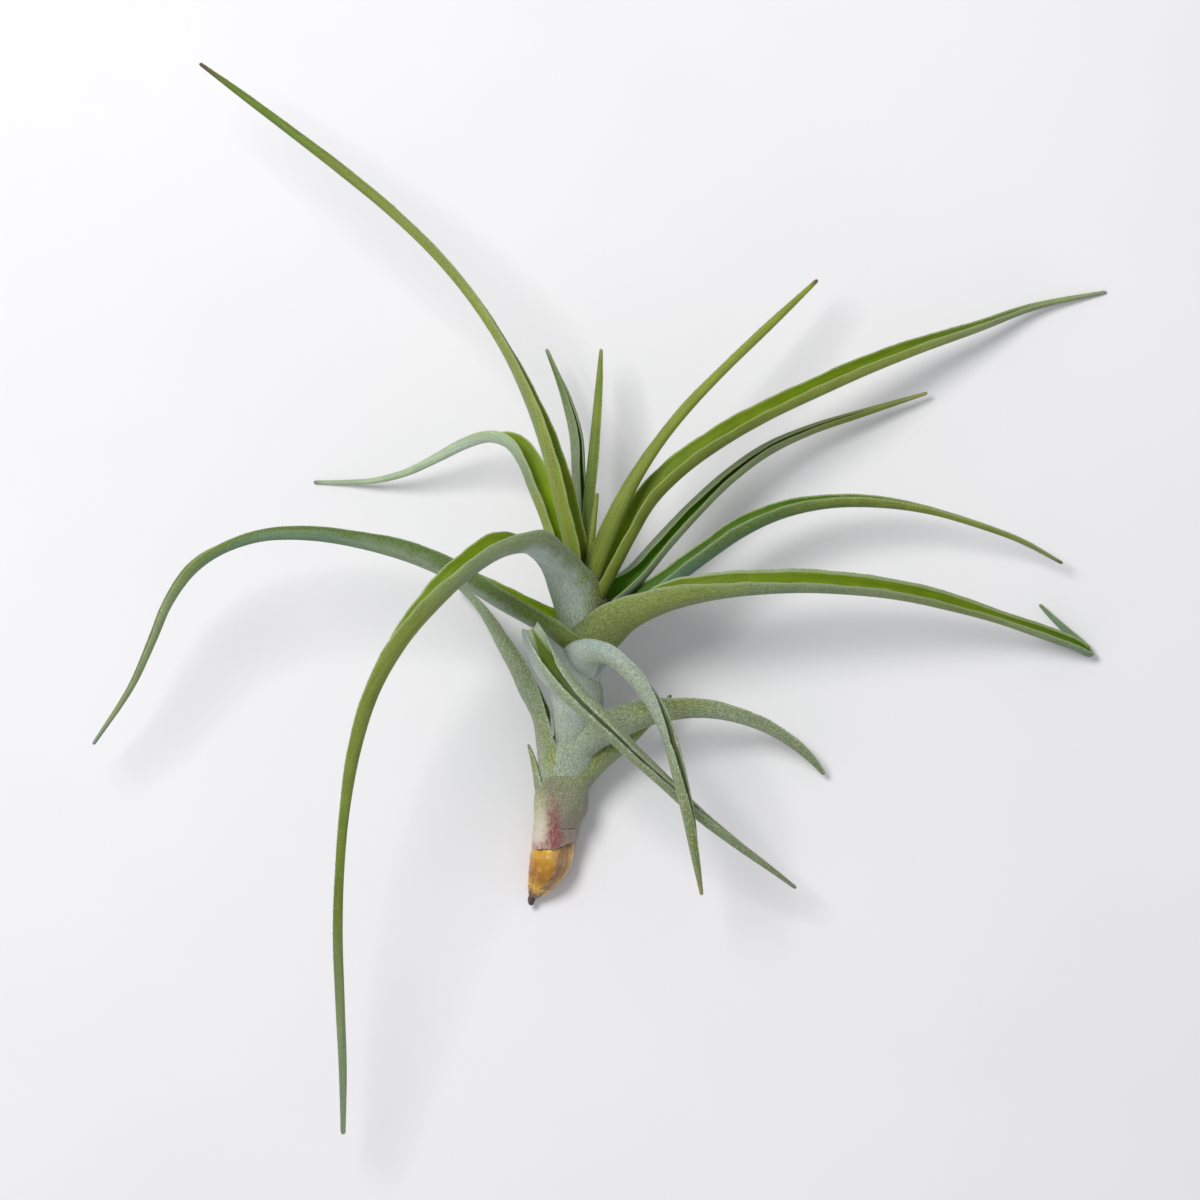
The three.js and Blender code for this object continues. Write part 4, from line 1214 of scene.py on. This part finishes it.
def sample_surface(mesh, rng, count):
    """Random points of a mesh, evenly over its area: places, face normals and map values."""
    mesh.calc_loop_triangles()
    triangles = len(mesh.loop_triangles)
    corner = np.zeros(triangles * 3, np.int32)
    mesh.loop_triangles.foreach_get("vertices", corner)
    loop = np.zeros(triangles * 3, np.int32)
    mesh.loop_triangles.foreach_get("loops", loop)
    places = np.zeros(len(mesh.vertices) * 3)
    mesh.vertices.foreach_get("co", places)
    triangle = places.reshape(-1, 3)[corner].reshape(-1, 3, 3) / MM
    normal = np.cross(triangle[:, 1] - triangle[:, 0], triangle[:, 2] - triangle[:, 0])
    area = np.linalg.norm(normal, axis=1) / 2
    picked = rng.choice(triangles, count, p=area / area.sum())
    weights = rng.random((count, 2))
    over = weights.sum(1) > 1
    weights[over] = 1 - weights[over]
    weights = np.column_stack([1 - weights.sum(1), weights])
    values = {}
    for name in ("place", "edge"):
        uv = np.zeros(len(mesh.loops) * 2)
        mesh.uv_layers[name].data.foreach_get("uv", uv)
        values[name] = np.einsum("nk,nkj->nj", weights, uv.reshape(-1, 2)[loop].reshape(-1, 3, 2)[picked])
    points = np.einsum("nk,nkj->nj", weights, triangle[picked])
    return points, unit(normal[picked] + 1e-12), values


def surface_area(mesh):
    return sum(face.area for face in mesh.polygons) / MM ** 2


def scales_on(spec, mesh, rng, near):
    """A leaf's scales, by its dust: their places, normals, the leaf's direction, edge and colour there."""
    count = int(SCALES_A_SQUARE_MM * surface_area(mesh))
    points, normals, values = sample_surface(mesh, rng, count)
    way, face = values["place"].T
    edge = values["edge"][:, 0]
    outer = face < OUTER_FACE
    chance = along(spec["dust"], way) * np.where(outer, 1.0, CHANNEL_SCALES_SHARE)
    chance = np.where(edge < MARGIN_REACH, np.maximum(chance, MARGIN_SCALES_SHARE), chance)
    keep = rng.random(count) < chance
    keep &= points[:, 2] > LOWEST_SCALE
    points, normals, way, outer, edge = (values[keep] for values in (points, normals, way, outer, edge))
    direction = tangents(np.array(spec["route"])[:, :3], np.clip(way, 0, 1))
    below = np.where(outer[:, None], colour_along(spec["wing"], way), colour_along(spec["channel"], way))
    start, reach = FREE_WAY
    clear = np.array([
        near.ray_cast(Vector(p * MM) + Vector(n) * start * MM, Vector(n), reach * MM)[0] is None
        for p, n in zip(points, normals)], bool)
    return points[clear], normals[clear], direction[clear], edge[clear], below[clear]


def colour_along(colours, way):
    """The linear colour at the shares of the way down an even list of colours."""
    stops = np.array([linear(colour)[:3] for colour in colours])
    return np.column_stack([along(stops[:, k], way) for k in range(3)])


def scale_mesh(name, groups, slot, rng):
    """One mesh of tiny low shields, longer than wide, each lifted at its outer end."""
    sizes, whiteness = SCALE_LOOKS[slot]
    points, normals, directions, edges, below = (np.concatenate(part) for part in zip(*groups))
    count = len(points)
    lengthwise = unit(directions - normals * np.einsum("ij,ij->i", directions, normals)[:, None] + 1e-9)
    swing = rng.uniform(-SCALE_SWING, SCALE_SWING, count)[:, None]
    lengthwise, sideways = (
        lengthwise * np.cos(swing) + np.cross(normals, lengthwise) * np.sin(swing),
        np.cross(normals, lengthwise) * np.cos(swing) - lengthwise * np.sin(swing))
    by_margin = (edges < MARGIN_REACH)[:, None]
    size = rng.uniform(*sizes, count)[:, None] * np.where(by_margin, MARGIN_GROWTH, 1.0)
    lift = rng.uniform(*SCALE_LIFT, count)[:, None] * np.where(by_margin, MARGIN_LIFT, 1.0)
    ring = [points + normals * (MIDDLE_RISE + lift * 0.5)]
    for k in range(SCALE_SIDES):
        angle = 2 * math.pi * k / SCALE_SIDES
        reach = size * (SCALE_LENGTH * math.cos(angle)) * lengthwise + size * math.sin(angle) * sideways
        ring.append(points + reach + normals * (END_RISE + lift * (0.5 + 0.5 * math.cos(angle))))
    low, high = (np.array(corner) / MM for corner in cad_box)
    places = np.clip(np.stack(ring, 1), low + LEAST_RISE, high - LEAST_RISE)
    size_a_scale = SCALE_SIDES + 1
    fan = np.array([(0, 1 + k, 1 + (k + 1) % SCALE_SIDES) for k in range(SCALE_SIDES)])
    faces = (np.arange(count)[:, None, None] * size_a_scale + fan).reshape(-1, 3)
    mesh = bpy.data.meshes.new(name)
    mesh.from_pydata((places.reshape(-1, 3) * MM).tolist(), [], faces.tolist())
    white = rng.uniform(*whiteness, count)[:, None]
    own_white = np.array(linear(SCALE_WHITE)[:3])
    tint = np.column_stack([below * (1 - white) + own_white * white, np.ones(count)])
    layer = mesh.color_attributes.new("tint", "FLOAT_COLOR", "POINT")
    layer.data.foreach_set("color", np.repeat(tint, size_a_scale, 0).astype(np.float32).ravel())
    return mesh


# The plant

def add_leaves():
    """All leaves, oldest first, each trimmed by the older ones that wrap it. Returns their pieces."""
    pieces = []
    tools = []
    for spec in LEAVES:
        mesh = leaf_mesh(spec)
        box = mesh_box(mesh)
        met = [tool for tool, tool_box in tools if boxes_meet(box, tool_box)]
        if met:
            mesh = cut(mesh, met)
        piece = add_piece(spec["name"] + "_blade", mesh, leaf_material(spec))
        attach(piece, "root")
        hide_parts(spec["name"])
        pieces.append(piece)
        tool = leaf_mesh(spec, SHEATH_GAP)
        tools.append((tool, mesh_box(tool)))
    for tool, _ in tools:
        bpy.data.meshes.remove(tool)
    return pieces


def add_scales(leaves):
    """The scales of the silver leaves and those of the green ones, clear of every leaf near them."""
    rng = np.random.default_rng(SEED)
    places, faces = [], []
    for leaf in leaves:
        start = len(places)
        places += [v.co for v in leaf.data.vertices]
        faces += [[start + k for k in face.vertices] for face in leaf.data.polygons]
    near = BVHTree.FromPolygons(places, faces)
    material = scale_material()
    for name, slot in (("silver_leaf_scales", "leaf_silver"), ("green_leaf_scales", "leaf_green")):
        own = [(spec, leaf) for spec, leaf in zip(LEAVES, leaves) if spec["slot"] == slot]
        groups = [scales_on(spec, leaf.data, rng, near) for spec, leaf in own]
        piece = add_piece(name, scale_mesh(name, groups, slot, rng), material, 180)
        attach(piece, "root")


def add_foot():
    """The stem's core, the dry base round its foot, and the runner's stub."""
    stem = add_piece("stem_core", rod_mesh("stem_core", STEM, STEM_STATIONS, stem_skin), stem_material())
    base = rod_mesh("dry_base_skin", [*DRY_BASE, COLLAR], BASE_STATIONS, base_skin)
    base = add_piece("dry_base_skin", base, base_material())
    stub = rod_mesh("runner_stub_bark", STUB, STUB_STATIONS, stub_skin)
    stub = add_piece("runner_stub_bark", stub, stub_material())
    for piece, node in ((stem, "stem"), (base, "dry_base"), (stub, "runner_stub")):
        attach(piece, "root")
        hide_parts(node)
    paper = paper_material()
    for number, shred in enumerate(SHREDS, 1):
        name = f"paper_shred_{number}"
        piece = add_piece(name, shred_mesh(name, *shred), paper)
        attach(piece, "root")


# Floor, light and camera

CAMERA_HEIGHT = 1.5
SIGHT = 20.0
# In millimetres.
SENSOR_WIDTH = 36.0
# The frame's width on the floor.
FRAME_WIDTH = 0.244
FLOOR_HALF = 3.0
KEY_FROM = (-0.38, 0.38, 1.0)
KEY_DISTANCE = 0.9
KEY_SIZE = 0.34
KEY_POWER = 5.4
KEY_COLOUR = (1.0, 0.985, 0.96)
SKY_COLOUR = (0.95, 0.955, 1.0)
SKY_STRENGTH = 0.5


def add_floor():
    half = FLOOR_HALF
    mesh = bpy.data.meshes.new("floor")
    corners = [(-half, -half, 0), (half, -half, 0), (half, half, 0), (-half, half, 0)]
    mesh.from_pydata(corners, [], [(0, 1, 2, 3)])
    material = new_material("floor")
    tree = material.node_tree
    soft = noise(tree, add(tree, "ShaderNodeTexCoord").outputs["Object"], 14.0, 4.0)
    colour = mix(tree, remap(tree, soft, 0.3, 0.7, 0.0, 0.25), linear(FLOOR_WHITE), linear(FLOOR_GREY))
    finish_surface(tree, Base_Color=colour, Roughness=0.9, Specular_IOR_Level=0.1)
    mesh.materials.append(material)
    floor = bpy.data.objects.new("floor", mesh)
    bpy.context.scene.collection.objects.link(floor)


def add_light():
    light = bpy.data.lights.new("key", "AREA")
    light.shape = "DISK"
    light.size = KEY_SIZE
    light.energy = KEY_POWER
    light.color = KEY_COLOUR
    key = bpy.data.objects.new("key", light)
    key.location = Vector(KEY_FROM).normalized() * KEY_DISTANCE
    key.rotation_euler = Vector(KEY_FROM).to_track_quat("Z", "Y").to_euler()
    bpy.context.scene.collection.objects.link(key)
    world = bpy.data.worlds.new("sky")
    world.use_nodes = True
    sky = world.node_tree.nodes["Background"]
    sky.inputs["Color"].default_value = (*SKY_COLOUR, 1.0)
    sky.inputs["Strength"].default_value = SKY_STRENGTH
    bpy.context.scene.world = world


def add_camera():
    lens = bpy.data.cameras.new("camera")
    lens.sensor_width = SENSOR_WIDTH
    lens.lens = SENSOR_WIDTH * CAMERA_HEIGHT / FRAME_WIDTH
    lens.clip_end = SIGHT
    camera = bpy.data.objects.new("camera", lens)
    camera.location = (0, 0, CAMERA_HEIGHT)
    bpy.context.scene.collection.objects.link(camera)
    bpy.context.scene.camera = camera


bpy.context.scene.view_settings.view_transform = "Standard"
add_camera()
add_floor()
add_light()
leaf_pieces = add_leaves()
add_scales(leaf_pieces)
add_foot()
